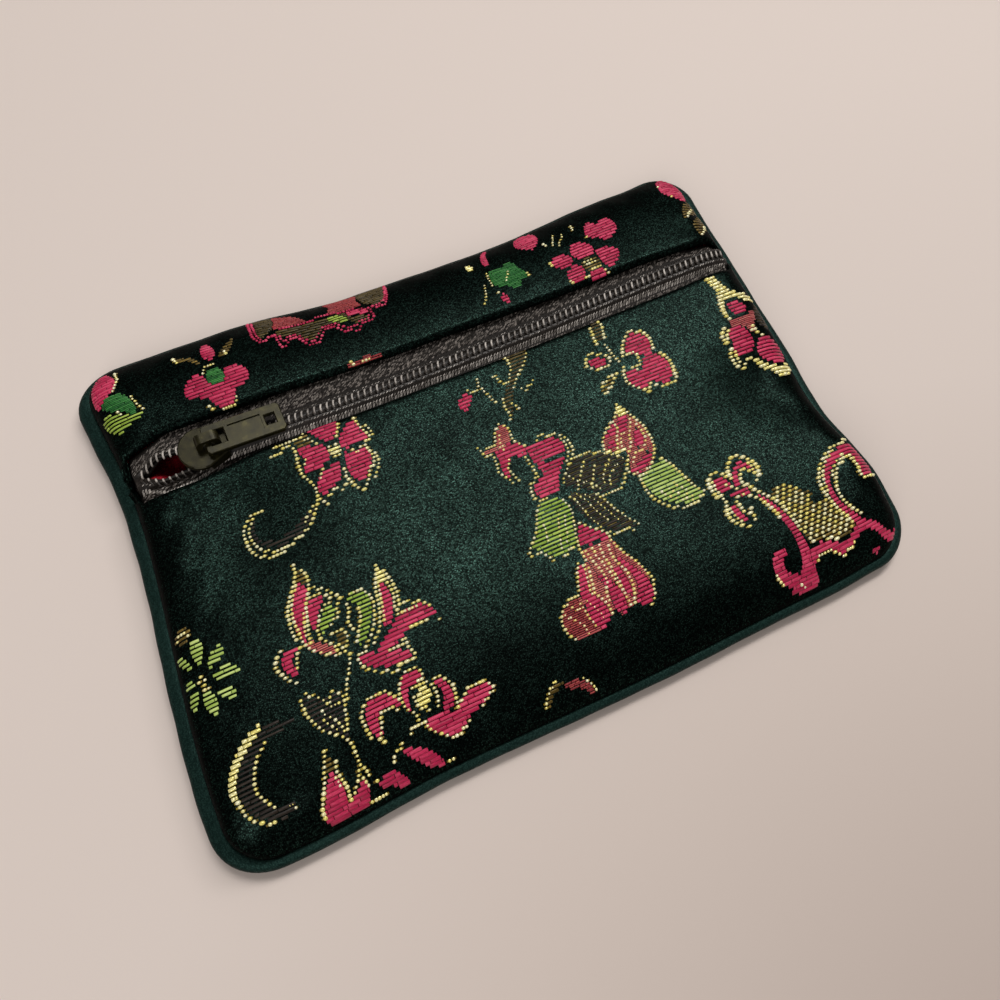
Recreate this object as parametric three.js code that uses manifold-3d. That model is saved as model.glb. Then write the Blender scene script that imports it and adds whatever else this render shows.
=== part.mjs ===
import * as THREE from "three";
import { mergeVertices } from "three/addons/utils/BufferGeometryUtils.js";
import Module from "manifold-3d";

const wasm = await Module();
wasm.setup();

// Outline of the purse as it lies, in millimetres
const WIDTH = 120;
const HEIGHT = 88;
const GAP = 0.3;
const WALL = 1.0;

// Piping cord in the seam all round
const PIPING_RADIUS = 1.5;
const PIPING_SIDES = 8;
const SEAM_Z = 2.6;

// Panel rims lap over the cord: how far inside its centre line, and how far above or below it
const RIM_STAND = 1.1;
const RIM_LIFT = 1.35;
const HALF_X = WIDTH / 2 - PIPING_RADIUS - RIM_STAND;
const HALF_Y = HEIGHT / 2 - PIPING_RADIUS - RIM_STAND;

// Front: height where the edge roll ends, extra height in the middle, width of each roll
const SHOULDER_Z = 7.7;
const DOME = 2.1;
const ROLL = { left: 5.5, right: 5, bottom: 6, top: 5.5 };
const FOLD_RADIUS = 1.15;
const LINING_SLACK = 0.2;

// Zip: tape, coil teeth and how the chain dips at both ends
const TAPE_TOP = 7.8;
const TAPE_TUCK = 1.2;
const TAPE_SLIT = 0.15;
const COIL_HEIGHT = 1.1;
const COIL_OUTER = 1.6;
const COIL_INNER = 0.9;
const TOOTH_TIP = -0.42;
const TOOTH_PITCH = 1.25;
const TOOTH_WIDTH = 0.38;
const ZIP_HALF = 57.1;
const COIL_HALF = 56.2;
const ZIP_DIP = 2.8;
const ZIP_DIP_LENGTH = 7;
const TAPE_NARROWS = { from: 48.5, to: 50.8 };
const TAPE_FINE_LEFT = 17;
const COIL_END_BARE = 0.4;

// Slider and pull
const SLIDER_X = -42.6;
const PLATE = 1.0;
const NOSE_RADIUS = 3.7;
const NOSE_CENTRE = -1.4;
const TAIL_X = 3.0;
const TAIL_HALF = 2.3;
const BAIL_HALF = 2.0;
const BAIL_TOP = 1.65;
const BAIL_FLAT = 0.9;
const BAIL_INNER = 1.05;
const BAIL_WIDTH = 1.7;
const PIVOT_LIFT = 1.0;
const PULL_LENGTH = 12.5;
const PULL_HALF = 2.6;
const PULL_THICK = 1.0;
const EYE_BAR = 0.5;
const SLOT_END = 3.0;
const SLOT_HALF = 1.3;
const PULL_TILT = THREE.MathUtils.degToRad(3);
const PULL_CORNER = 0.45;
const PULL_BEVEL = 0.12;
const PULL_WINDOW = { from: 9.6, to: 11.3, half: 0.95 };
const PULL_PANEL = { from: 3.7, to: 9.1, half: 1.45, depth: 0.3 };

// Flanges under the slider's top plate: wide at the nose, narrow at the tail
const FLANGE_NOSE = { x: -0.8, inner: 2.85, outer: 3.4 };
const FLANGE_TAIL = { x: 2.6, inner: 1.95, outer: 2.3 };
const FLANGE_LIFT = 0.5;
const POST = { back: -4.5, front: -3.0, half: 0.5 };
const PLATE_BEVEL = 0.2;
const JOIN_DEPTH = 0.2;

// Mouth of the lining: how far it reaches along the zip, and its lower edge above the seam
const MOUTH_HALF = 57;
const MOUTH_LIFT = 0.1;

// How far each side bows out of a plain rectangle, by place along it
const LEFT_BOW = [
  { at: -32, out: 1.5 },
  { at: 17, out: -2.1 },
  { at: 42, out: 0 },
];
const RIGHT_BOW = [
  { at: -44, out: -0.5 },
  { at: -28, out: 1.0 },
  { at: -12, out: -1.1 },
  { at: 4, out: -0.2 },
  { at: 30, out: 0.3 },
  { at: 43, out: 0.9 },
];
const BOTTOM_BOW = [
  { at: -48, out: 0.9 },
  { at: -25, out: -0.3 },
  { at: 6, out: 0 },
  { at: 40, out: -0.7 },
  { at: 58, out: -1.7 },
];
const TOP_BOW = [
  { at: -33, out: 1.0 },
  { at: -9, out: -1.2 },
  { at: 15, out: -1.4 },
  { at: 46, out: 0.9 },
  { at: 57, out: 1.6 },
];

// Edges of the zip window and the line of the chain, by place along the zip
const WINDOW = [
  { at: -54, low: 15.0, high: 23.8 },
  { at: -48, low: 14.9, high: 24.8 },
  { at: -34, low: 16.0, high: 24.6 },
  { at: 0, low: 16.2, high: 24.4 },
  { at: 40, low: 16.5, high: 23.8 },
  { at: 54, low: 17.0, high: 23.3 },
];
const CHAIN_LINE = [
  { at: -20, y: 19.3 },
  { at: 55, y: 20.6 },
];

// How far each row of teeth stands off the closed line, by distance from the slider
const ROW_PARTING = [
  { at: -13.2, out: 0 },
  { at: -8.5, out: 1.9 },
  { at: -5, out: 1.75 },
  { at: -2.7, out: 1.3 },
  { at: 2, out: 0 },
];

// Soft hollows pressed into the front
const HOLLOWS = [
  { x: 47, y: -12, rx: 9, ry: 8, depth: 1.1 },
  { x: -44, y: 2, rx: 12, ry: 9, depth: 0.4 },
  { x: 22, y: -30, rx: 14, ry: 7, depth: 0.4 },
];

// Value of one column of a table between its rows, eased from row to row
function lookup(table, column, at) {
  const last = table[table.length - 1];
  if (at <= table[0].at) return table[0][column];
  if (at >= last.at) return last[column];
  const next = table.findIndex((row) => row.at > at);
  const low = table[next - 1];
  const high = table[next];
  const eased = THREE.MathUtils.smoothstep(at, low.at, high.at);
  return THREE.MathUtils.lerp(low[column], high[column], eased);
}

// Moves a point of the plain rectangle to where the bowed outline carries it
function bowed(x, y) {
  const pullX = (2 * x) / WIDTH;
  const pullY = (2 * y) / HEIGHT;
  const sideX = x < 0 ? -lookup(LEFT_BOW, "out", y) : lookup(RIGHT_BOW, "out", y);
  const sideY = y < 0 ? -lookup(BOTTOM_BOW, "out", x) : lookup(TOP_BOW, "out", x);
  return [x + sideX * pullX * pullX, y + sideY * pullY * pullY];
}

function hollowAt(x, y) {
  let depth = 0;
  for (const hollow of HOLLOWS) {
    const dx = (x - hollow.x) / hollow.rx;
    const dy = (y - hollow.y) / hollow.ry;
    depth += hollow.depth * Math.exp(-dx * dx - dy * dy);
  }
  return depth;
}

// Places along one side: a finely divided roll, even steps, a second roll
function stations(low, high, rollLow, rollHigh, rollSteps, midSteps) {
  const places = [];
  for (let k = 0; k < rollSteps; k += 1) {
    const turn = Math.cos((k / rollSteps) * Math.PI * 0.5);
    places.push({ at: low + rollLow * (1 - turn), turn: -turn });
  }
  for (let k = 0; k <= midSteps; k += 1) {
    places.push({ at: THREE.MathUtils.lerp(low + rollLow, high - rollHigh, k / midSteps), turn: 0 });
  }
  for (let k = rollSteps - 1; k >= 0; k -= 1) {
    const turn = Math.cos((k / rollSteps) * Math.PI * 0.5);
    places.push({ at: high - rollHigh * (1 - turn), turn });
  }
  return places;
}

// Plan position on a shell whose corners are rounded by the two rolls that meet there
function shellPlan(column, row, shell) {
  const rollX = (column.turn < 0 ? ROLL.left : ROLL.right) - shell.inset;
  const rollY = (row.turn < 0 ? ROLL.bottom : ROLL.top) - shell.inset;
  const halfX = HALF_X - shell.inset;
  const halfY = HALF_Y - shell.inset;
  const across = column.turn * Math.sqrt(1 - (row.turn * row.turn) / 2);
  const along = row.turn * Math.sqrt(1 - (column.turn * column.turn) / 2);
  const x = column.turn === 0 ? column.at : Math.sign(column.turn) * (halfX - rollX) + rollX * across;
  const y = row.turn === 0 || row.fold ? row.at : Math.sign(row.turn) * (halfY - rollY) + rollY * along;
  return [x, y];
}

// Share of the full height reached on the rolls: nothing at the rim, all of it inside
function lift(column, row) {
  const rowTurn = row.fold ? 0 : row.turn;
  return Math.sqrt((1 - column.turn * column.turn) * (1 - rowTurn * rowTurn));
}

function frontTop(x, y) {
  const farX = x / HALF_X;
  const farY = y / HALF_Y;
  return SHOULDER_Z + DOME * (1 - farX ** 10) * (1 - farY ** 4) - hollowAt(x, y);
}

function columnStations(shell, rollSteps, midSteps) {
  const halfX = HALF_X - shell.inset;
  return stations(-halfX, halfX, ROLL.left - shell.inset, ROLL.right - shell.inset, rollSteps, midSteps);
}

function rowStations(shell, rollSteps, midSteps) {
  const halfY = HALF_Y - shell.inset;
  return stations(-halfY, halfY, ROLL.bottom - shell.inset, ROLL.top - shell.inset, rollSteps, midSteps);
}

// A closed mesh from points and four-sided faces listed by their corners
function meshFromQuads(points, quads) {
  const index = [];
  for (const [a, b, c, d] of quads) {
    index.push(a, b, c, a, c, d);
  }
  const geometry = new THREE.BufferGeometry();
  const flat = points.flatMap((p) => [p.x, p.y, p.z]);
  geometry.setAttribute("position", new THREE.Float32BufferAttribute(flat, 3));
  geometry.setIndex(index);
  return geometry;
}

// Directions the cloth faces, level along the rim so that the edges stay square
function clothNormals(grid) {
  const columns = grid.length;
  const rows = grid[0].length;
  const facing = (i, j) => {
    const east = grid[Math.min(i + 1, columns - 1)][j];
    const west = grid[Math.max(i - 1, 0)][j];
    const north = grid[i][Math.min(j + 1, rows - 1)];
    const south = grid[i][Math.max(j - 1, 0)];
    const normal = east.clone().sub(west).cross(north.clone().sub(south));
    const rim = i === 0 || j === 0 || i === columns - 1 || j === rows - 1;
    if (rim) normal.z = 0;
    return normal.normalize();
  };
  const normals = grid.map((line, i) => line.map((p, j) => facing(i, j)));
  for (const i of [0, columns - 1]) {
    for (const j of [0, rows - 1]) {
      const beside = normals[i === 0 ? 1 : i - 1][j];
      const along = normals[i][j === 0 ? 1 : j - 1];
      normals[i][j] = beside.clone().add(along).normalize();
    }
  }
  return normals;
}

// A cloth wall: the grid is its outer face, and the inner face lies one wall further in
function clothWall(grid, outwardUp) {
  const columns = grid.length;
  const rows = grid[0].length;
  const normals = clothNormals(grid);
  const points = [];
  const depth = outwardUp ? -WALL : WALL;
  for (let i = 0; i < columns; i += 1) {
    for (let j = 0; j < rows; j += 1) points.push(grid[i][j]);
  }
  for (let i = 0; i < columns; i += 1) {
    for (let j = 0; j < rows; j += 1) {
      points.push(grid[i][j].clone().addScaledVector(normals[i][j], depth));
    }
  }
  const size = columns * rows;
  const outer = (i, j) => i * rows + j;
  const inner = (i, j) => size + i * rows + j;
  const quads = [];
  for (let i = 0; i < columns - 1; i += 1) {
    for (let j = 0; j < rows - 1; j += 1) {
      quads.push([outer(i, j), outer(i + 1, j), outer(i + 1, j + 1), outer(i, j + 1)]);
      quads.push([inner(i, j), inner(i, j + 1), inner(i + 1, j + 1), inner(i + 1, j)]);
    }
  }
  const lastI = columns - 1;
  const lastJ = rows - 1;
  for (let i = 0; i < lastI; i += 1) {
    quads.push([outer(i, 0), inner(i, 0), inner(i + 1, 0), outer(i + 1, 0)]);
    quads.push([outer(i, lastJ), outer(i + 1, lastJ), inner(i + 1, lastJ), inner(i, lastJ)]);
  }
  for (let j = 0; j < lastJ; j += 1) {
    quads.push([outer(0, j), outer(0, j + 1), inner(0, j + 1), inner(0, j)]);
    quads.push([outer(lastI, j), inner(lastI, j), inner(lastI, j + 1), outer(lastI, j + 1)]);
  }
  const facing = outwardUp ? quads : quads.map((quad) => quad.slice().reverse());
  return meshFromQuads(points, facing);
}

// One front piece between the seam and the zip window, its window edge turned under
function frontPiece(aboveZip, rollSteps, columnSteps, rowSteps) {
  const shell = { inset: 0 };
  const rowsAt = (x) => {
    const low = aboveZip ? lookup(WINDOW, "high", x) : -HALF_Y;
    const high = aboveZip ? HALF_Y : lookup(WINDOW, "low", x);
    const rollLow = aboveZip ? FOLD_RADIUS : ROLL.bottom;
    const rollHigh = aboveZip ? ROLL.top : FOLD_RADIUS;
    const rows = stations(low, high, rollLow, rollHigh, rollSteps, rowSteps);
    for (const row of rows) row.fold = aboveZip ? row.turn < 0 : row.turn > 0;
    return rows;
  };
  const columns = columnStations(shell, rollSteps, columnSteps);
  const grid = columns.map((column) =>
    rowsAt(column.at).map((row) => {
      const [x, y] = shellPlan(column, row, shell);
      const turned = row.fold ? FOLD_RADIUS * (1 - Math.sqrt(1 - row.turn * row.turn)) : 0;
      const rim = SEAM_Z + RIM_LIFT;
      const z = rim + (frontTop(x, y) - turned - rim) * lift(column, row);
      return new THREE.Vector3(...bowed(x, y), z);
    }),
  );
  return clothWall(grid, true);
}

function backPiece() {
  const shell = { inset: 0 };
  const rim = SEAM_Z - RIM_LIFT;
  const rows = rowStations(shell, 3, 8);
  const grid = columnStations(shell, 3, 12).map((column) =>
    rows.map((row) => {
      const [x, y] = shellPlan(column, row, shell);
      return new THREE.Vector3(...bowed(x, y), rim * (1 - lift(column, row)));
    }),
  );
  return clothWall(grid, false);
}

// A closed pillow that fits inside the panels, a given distance in from their faces
function pillow(inset) {
  const shell = { inset };
  const columns = columnStations(shell, 3, 8);
  const rows = rowStations(shell, 3, 6);
  const points = [];
  for (const column of columns) {
    for (const row of rows) {
      const [x, y] = shellPlan(column, row, shell);
      const share = lift(column, row);
      const high = SEAM_Z + (frontTop(x, y) - inset - LINING_SLACK - SEAM_Z) * share;
      const low = SEAM_Z - (SEAM_Z - inset) * share;
      points.push(new THREE.Vector3(...bowed(x, y), high));
      points.push(new THREE.Vector3(...bowed(x, y), low));
    }
  }
  const top = (i, j) => 2 * (i * rows.length + j);
  const quads = [];
  for (let i = 0; i < columns.length - 1; i += 1) {
    for (let j = 0; j < rows.length - 1; j += 1) {
      quads.push([top(i, j), top(i + 1, j), top(i + 1, j + 1), top(i, j + 1)]);
      quads.push([top(i, j) + 1, top(i, j + 1) + 1, top(i + 1, j + 1) + 1, top(i + 1, j) + 1]);
    }
  }
  return meshFromQuads(points, quads);
}

// A bar that follows the zip: four corners at each place along it, closed at both ends
function barAlong(sections) {
  const points = sections.flat();
  const corner = (k, side) => 4 * k + (side % 4);
  const quads = [];
  for (let k = 0; k < sections.length - 1; k += 1) {
    for (let side = 0; side < 4; side += 1) {
      quads.push([corner(k, side), corner(k, side + 1), corner(k + 1, side + 1), corner(k + 1, side)]);
    }
  }
  const last = sections.length - 1;
  quads.push([corner(0, 3), corner(0, 2), corner(0, 1), corner(0, 0)]);
  quads.push([corner(last, 0), corner(last, 1), corner(last, 2), corner(last, 3)]);
  return meshFromQuads(points, quads);
}

function zipDip(x) {
  const reach = THREE.MathUtils.clamp((ZIP_HALF - Math.abs(x)) / ZIP_DIP_LENGTH, 0, 1);
  return ZIP_DIP * (1 - Math.sqrt(1 - (1 - reach) ** 2));
}

function rowParting(x) {
  return lookup(ROW_PARTING, "out", x - SLIDER_X);
}

function zipPoint(x, y, z) {
  return new THREE.Vector3(...bowed(x, y), z - zipDip(x));
}

// One tape: from the chain line to just under the cloth beside the window
function zipTape(side) {
  const sections = [];
  const places = stations(-ZIP_HALF, ZIP_HALF, TAPE_FINE_LEFT, ZIP_DIP_LENGTH, 9, 9);
  for (const place of places) {
    const x = place.at;
    const narrowing = THREE.MathUtils.smoothstep(Math.abs(x), TAPE_NARROWS.from, TAPE_NARROWS.to);
    const tuck = TAPE_TUCK - (TAPE_TUCK + GAP) * narrowing;
    const inner = lookup(CHAIN_LINE, "y", x) + side * (TAPE_SLIT + rowParting(x));
    const outer = lookup(WINDOW, side > 0 ? "high" : "low", x) + side * tuck;
    const low = Math.min(inner, outer);
    const high = Math.max(inner, outer);
    sections.push([
      zipPoint(x, low, TAPE_TOP),
      zipPoint(x, low, TAPE_TOP - WALL),
      zipPoint(x, high, TAPE_TOP - WALL),
      zipPoint(x, high, TAPE_TOP),
    ]);
  }
  return barAlong(sections);
}

// One row of coil teeth on its spine; the two rows mesh half a pitch apart
function zipCoil(side) {
  const phase = side > 0 ? 0 : TOOTH_PITCH / 2;
  const bottom = TAPE_TOP + GAP;
  const top = bottom + COIL_HEIGHT;
  const points = [];
  const quads = [];
  const across = [COIL_OUTER, COIL_INNER, TOOTH_TIP];
  const addColumn = (x, reach) => {
    const first = points.length;
    for (const distance of across.slice(0, reach)) {
      const y = lookup(CHAIN_LINE, "y", x) + side * (distance + rowParting(x));
      points.push(zipPoint(x, y, bottom), zipPoint(x, y, top));
    }
    return first;
  };
  const face = (a, b, c, d) => quads.push(side > 0 ? [a, b, c, d] : [d, c, b, a]);
  const addSpine = (left, right) => {
    face(left + 1, left + 3, right + 3, right + 1);
    face(left, right, right + 2, left + 2);
    face(left, left + 1, right + 1, right);
  };
  let previous = addColumn(-COIL_HALF, 2);
  face(previous, previous + 2, previous + 3, previous + 1);
  const lastTooth = COIL_HALF - COIL_END_BARE - TOOTH_WIDTH;
  for (let x = COIL_END_BARE - COIL_HALF + phase; x < lastTooth; x += TOOTH_PITCH) {
    const left = addColumn(x, 3);
    const right = addColumn(x + TOOTH_WIDTH, 3);
    addSpine(previous, left);
    face(previous + 2, left + 2, left + 3, previous + 3);
    addSpine(left, right);
    face(left + 3, left + 5, right + 5, right + 3);
    face(left + 2, right + 2, right + 4, left + 4);
    face(left + 4, right + 4, right + 5, left + 5);
    face(left + 2, left + 4, left + 5, left + 3);
    face(right + 2, right + 3, right + 5, right + 4);
    previous = right;
  }
  const end = addColumn(COIL_HALF, 2);
  addSpine(previous, end);
  face(previous + 2, end + 2, end + 3, previous + 3);
  face(end, end + 1, end + 3, end + 2);
  return meshFromQuads(points, quads);
}

// Piping: a cord swept round the seam line
function pipingRing() {
  const corners = [
    { sx: 1, sy: 1, rollX: ROLL.right, rollY: ROLL.top, from: 0, sideSteps: 12 },
    { sx: -1, sy: 1, rollX: ROLL.left, rollY: ROLL.top, from: 1, sideSteps: 9 },
    { sx: -1, sy: -1, rollX: ROLL.left, rollY: ROLL.bottom, from: 2, sideSteps: 12 },
    { sx: 1, sy: -1, rollX: ROLL.right, rollY: ROLL.bottom, from: 3, sideSteps: 9 },
  ];
  const arcSteps = 7;
  const arcs = corners.map((corner) => {
    const arc = [];
    for (let k = 0; k <= arcSteps; k += 1) {
      const angle = (corner.from + k / arcSteps) * Math.PI * 0.5;
      const x = corner.sx * (HALF_X - corner.rollX) + (corner.rollX + RIM_STAND) * Math.cos(angle);
      const y = corner.sy * (HALF_Y - corner.rollY) + (corner.rollY + RIM_STAND) * Math.sin(angle);
      arc.push(new THREE.Vector2(x, y));
    }
    return arc;
  });
  const path = [];
  arcs.forEach((arc, n) => {
    const next = arcs[(n + 1) % arcs.length][0];
    const end = arc[arcSteps];
    path.push(...arc);
    for (let k = 1; k < corners[n].sideSteps; k += 1) {
      path.push(end.clone().lerp(next, k / corners[n].sideSteps));
    }
  });
  const line = path.map((p) => new THREE.Vector2(...bowed(p.x, p.y)));
  const points = [];
  const quads = [];
  const count = line.length;
  for (let k = 0; k < count; k += 1) {
    const along = line[(k + 1) % count].clone().sub(line[(k + count - 1) % count]).normalize();
    for (let s = 0; s < PIPING_SIDES; s += 1) {
      const angle = ((s + 0.5) / PIPING_SIDES) * Math.PI * 2;
      const out = PIPING_RADIUS * Math.cos(angle);
      const z = SEAM_Z + PIPING_RADIUS * Math.sin(angle);
      points.push(new THREE.Vector3(line[k].x + along.y * out, line[k].y - along.x * out, z));
    }
  }
  for (let k = 0; k < count; k += 1) {
    const next = (k + 1) % count;
    for (let s = 0; s < PIPING_SIDES; s += 1) {
      const t = (s + 1) % PIPING_SIDES;
      const here = k * PIPING_SIDES;
      const there = next * PIPING_SIDES;
      quads.push([here + s, there + s, there + t, here + t]);
    }
  }
  return meshFromQuads(points, quads);
}

// Solids are joined and cut as closed bodies, then handed back as plain geometry
function toBody(geometry) {
  const plain = geometry.clone();
  plain.deleteAttribute("normal");
  plain.deleteAttribute("uv");
  const merged = mergeVertices(plain, 1e-5);
  const body = new wasm.Mesh({
    numProp: 3,
    vertProperties: Float32Array.from(merged.attributes.position.array),
    triVerts: Uint32Array.from(merged.index.array),
  });
  return new wasm.Manifold(body);
}

function fromBody(body) {
  const mesh = body.getMesh();
  const geometry = new THREE.BufferGeometry();
  geometry.setAttribute("position", new THREE.Float32BufferAttribute(mesh.vertProperties, 3));
  geometry.setIndex(Array.from(mesh.triVerts));
  return geometry;
}

function boxBody(low, high) {
  const geometry = new THREE.BoxGeometry(high[0] - low[0], high[1] - low[1], high[2] - low[2]);
  geometry.translate((low[0] + high[0]) / 2, (low[1] + high[1]) / 2, (low[2] + high[2]) / 2);
  return toBody(geometry);
}

function slabBody(shape, bottom, thick, bevel) {
  const geometry = new THREE.ExtrudeGeometry(shape, {
    depth: thick - 2 * bevel,
    bevelEnabled: bevel > 0,
    bevelThickness: bevel,
    bevelSize: bevel,
    bevelOffset: -bevel,
    bevelSegments: 1,
    curveSegments: 7,
  });
  geometry.translate(0, 0, bottom + bevel);
  return toBody(geometry);
}

// Lining: a pouch inside the panels, open along the zip
function liningPouch() {
  const outside = toBody(pillow(WALL + GAP));
  const inside = toBody(pillow(2 * WALL + GAP));
  const mouth = new THREE.Shape();
  const places = [-MOUTH_HALF, ...WINDOW.map((row) => row.at), MOUTH_HALF];
  const edge = (x, side) => {
    const y = lookup(WINDOW, side > 0 ? "high" : "low", x) + side * (TAPE_TUCK + GAP);
    return new THREE.Vector2(...bowed(x, y));
  };
  const lower = places.map((x) => edge(x, -1));
  const upper = places.map((x) => edge(x, 1)).reverse();
  mouth.setFromPoints([...lower, ...upper]);
  const opening = slabBody(mouth, SEAM_Z + MOUTH_LIFT, SHOULDER_Z, 0);
  return fromBody(outside.subtract(inside).subtract(opening));
}

const sliderPlace = bowed(SLIDER_X, lookup(CHAIN_LINE, "y", SLIDER_X));
const plateTop = TAPE_TOP + GAP + COIL_HEIGHT + GAP + PLATE;
const pivotZ = plateTop + PIVOT_LIFT;

function sliderPlateShape() {
  const shape = new THREE.Shape();
  const noseFrom = THREE.MathUtils.degToRad(80);
  const tailCut = 0.6;
  shape.absarc(NOSE_CENTRE, 0, NOSE_RADIUS, noseFrom, Math.PI * 2 - noseFrom, false);
  shape.lineTo(TAIL_X - tailCut, -TAIL_HALF);
  shape.lineTo(TAIL_X, tailCut - TAIL_HALF);
  shape.lineTo(TAIL_X, TAIL_HALF - tailCut);
  shape.lineTo(TAIL_X - tailCut, TAIL_HALF);
  shape.closePath();
  return shape;
}

function flangeShape(side) {
  const shape = new THREE.Shape();
  shape.moveTo(FLANGE_NOSE.x, side * FLANGE_NOSE.inner);
  shape.lineTo(FLANGE_TAIL.x, side * FLANGE_TAIL.inner);
  shape.lineTo(FLANGE_TAIL.x, side * FLANGE_TAIL.outer);
  shape.lineTo(FLANGE_NOSE.x, side * FLANGE_NOSE.outer);
  shape.closePath();
  return shape;
}

function bailShape() {
  const shape = new THREE.Shape();
  const foot = -PIVOT_LIFT - JOIN_DEPTH;
  shape.moveTo(BAIL_HALF, foot);
  shape.lineTo(BAIL_HALF, 0);
  shape.quadraticCurveTo(BAIL_HALF, BAIL_TOP, BAIL_FLAT, BAIL_TOP);
  shape.lineTo(-BAIL_FLAT, BAIL_TOP);
  shape.quadraticCurveTo(-BAIL_HALF, BAIL_TOP, -BAIL_HALF, 0);
  shape.lineTo(-BAIL_HALF, foot);
  shape.lineTo(-BAIL_INNER, foot);
  shape.absarc(0, 0, BAIL_INNER, Math.PI, 0, true);
  shape.lineTo(BAIL_INNER, foot);
  shape.closePath();
  return shape;
}

// Slider: two plates on a post, side flanges under the top plate, a bail on top
function zipSlider() {
  const bottomPlate = TAPE_TOP - WALL - GAP - PLATE;
  const topPlate = plateTop - PLATE;
  const flangeBottom = TAPE_TOP + FLANGE_LIFT;
  const joined = topPlate + JOIN_DEPTH;
  let body = slabBody(sliderPlateShape(), topPlate, PLATE, PLATE_BEVEL);
  body = body.add(slabBody(sliderPlateShape(), bottomPlate, PLATE, PLATE_BEVEL));
  const postLow = [POST.back, -POST.half, bottomPlate + JOIN_DEPTH];
  const postHigh = [POST.front, POST.half, joined];
  body = body.add(boxBody(postLow, postHigh));
  for (const side of [-1, 1]) {
    body = body.add(slabBody(flangeShape(side), flangeBottom, joined - flangeBottom, 0));
  }
  const bail = new THREE.ExtrudeGeometry(bailShape(), {
    depth: BAIL_WIDTH,
    bevelEnabled: false,
    curveSegments: 9,
  });
  bail.translate(0, 0, -BAIL_WIDTH / 2);
  bail.rotateX(Math.PI / 2);
  bail.translate(0, 0, pivotZ);
  return fromBody(body.add(toBody(bail)));
}

function rectanglePath(lowX, highX, half) {
  const path = new THREE.Path();
  path.moveTo(lowX, -half);
  path.lineTo(lowX, half);
  path.lineTo(highX, half);
  path.lineTo(highX, -half);
  path.closePath();
  return path;
}

// Pull: a flat tab with an eye slot, a plain sunk panel and a small window at its end
function zipPull() {
  const cut = PULL_CORNER;
  const shape = new THREE.Shape();
  shape.moveTo(-EYE_BAR, cut - PULL_HALF);
  shape.lineTo(cut - EYE_BAR, -PULL_HALF);
  shape.lineTo(PULL_LENGTH - cut, -PULL_HALF);
  shape.lineTo(PULL_LENGTH, cut - PULL_HALF);
  shape.lineTo(PULL_LENGTH, PULL_HALF - cut);
  shape.lineTo(PULL_LENGTH - cut, PULL_HALF);
  shape.lineTo(cut - EYE_BAR, PULL_HALF);
  shape.lineTo(-EYE_BAR, PULL_HALF - cut);
  shape.closePath();
  shape.holes.push(rectanglePath(EYE_BAR, SLOT_END, SLOT_HALF));
  shape.holes.push(rectanglePath(PULL_WINDOW.from, PULL_WINDOW.to, PULL_WINDOW.half));
  const panelLow = [PULL_PANEL.from, -PULL_PANEL.half, PULL_THICK / 2 - PULL_PANEL.depth];
  const panelHigh = [PULL_PANEL.to, PULL_PANEL.half, PULL_THICK];
  const tab = slabBody(shape, -PULL_THICK / 2, PULL_THICK, PULL_BEVEL);
  return fromBody(tab.subtract(boxBody(panelLow, panelHigh)));
}

const part = new THREE.Group();
part.name = "brocade_coin_purse";

// The slider sits on the chain line; the pull turns about the middle of the slider's bail
const sliderGroup = new THREE.Group();
sliderGroup.position.set(sliderPlace[0], sliderPlace[1], 0);
part.add(sliderGroup);
const pullGroup = new THREE.Group();
pullGroup.position.set(0, 0, pivotZ);
pullGroup.rotation.set(0, PULL_TILT, 0);
sliderGroup.add(pullGroup);

function addPiece(name, geometry, colour, roughness, metalness, parent = part) {
  const material = new THREE.MeshStandardMaterial({ color: colour, roughness, metalness });
  geometry.computeVertexNormals();
  const mesh = new THREE.Mesh(geometry, material);
  mesh.name = name;
  parent.add(mesh);
}

const BROCADE = 0x14382f;
const PIPING_GREEN = 0x123a33;
const LINING_RED = 0x8c1f2b;
const TAPE_GREY = 0x4a443e;
const COIL_GREY = 0x5c564d;
const OLIVE_METAL = 0x4d4c3e;

addPiece("front_panel", frontPiece(false, 4, 13, 9), BROCADE, 0.5, 0);
addPiece("front_strip", frontPiece(true, 4, 13, 4), BROCADE, 0.5, 0);
addPiece("back_panel", backPiece(), BROCADE, 0.5, 0);
addPiece("piping", pipingRing(), PIPING_GREEN, 0.45, 0);
addPiece("lining", liningPouch(), LINING_RED, 0.7, 0);
addPiece("zip_tape_upper", zipTape(1), TAPE_GREY, 0.8, 0);
addPiece("zip_tape_lower", zipTape(-1), TAPE_GREY, 0.8, 0);
addPiece("zip_coil_upper", zipCoil(1), COIL_GREY, 0.5, 0);
addPiece("zip_coil_lower", zipCoil(-1), COIL_GREY, 0.5, 0);
addPiece("zip_slider", zipSlider(), OLIVE_METAL, 0.4, 0.7, sliderGroup);
addPiece("zip_pull", zipPull(), OLIVE_METAL, 0.4, 0.7, pullGroup);

export default part;
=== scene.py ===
import math
from collections import namedtuple

import bpy
import numpy as np
from mathutils import Matrix


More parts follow.
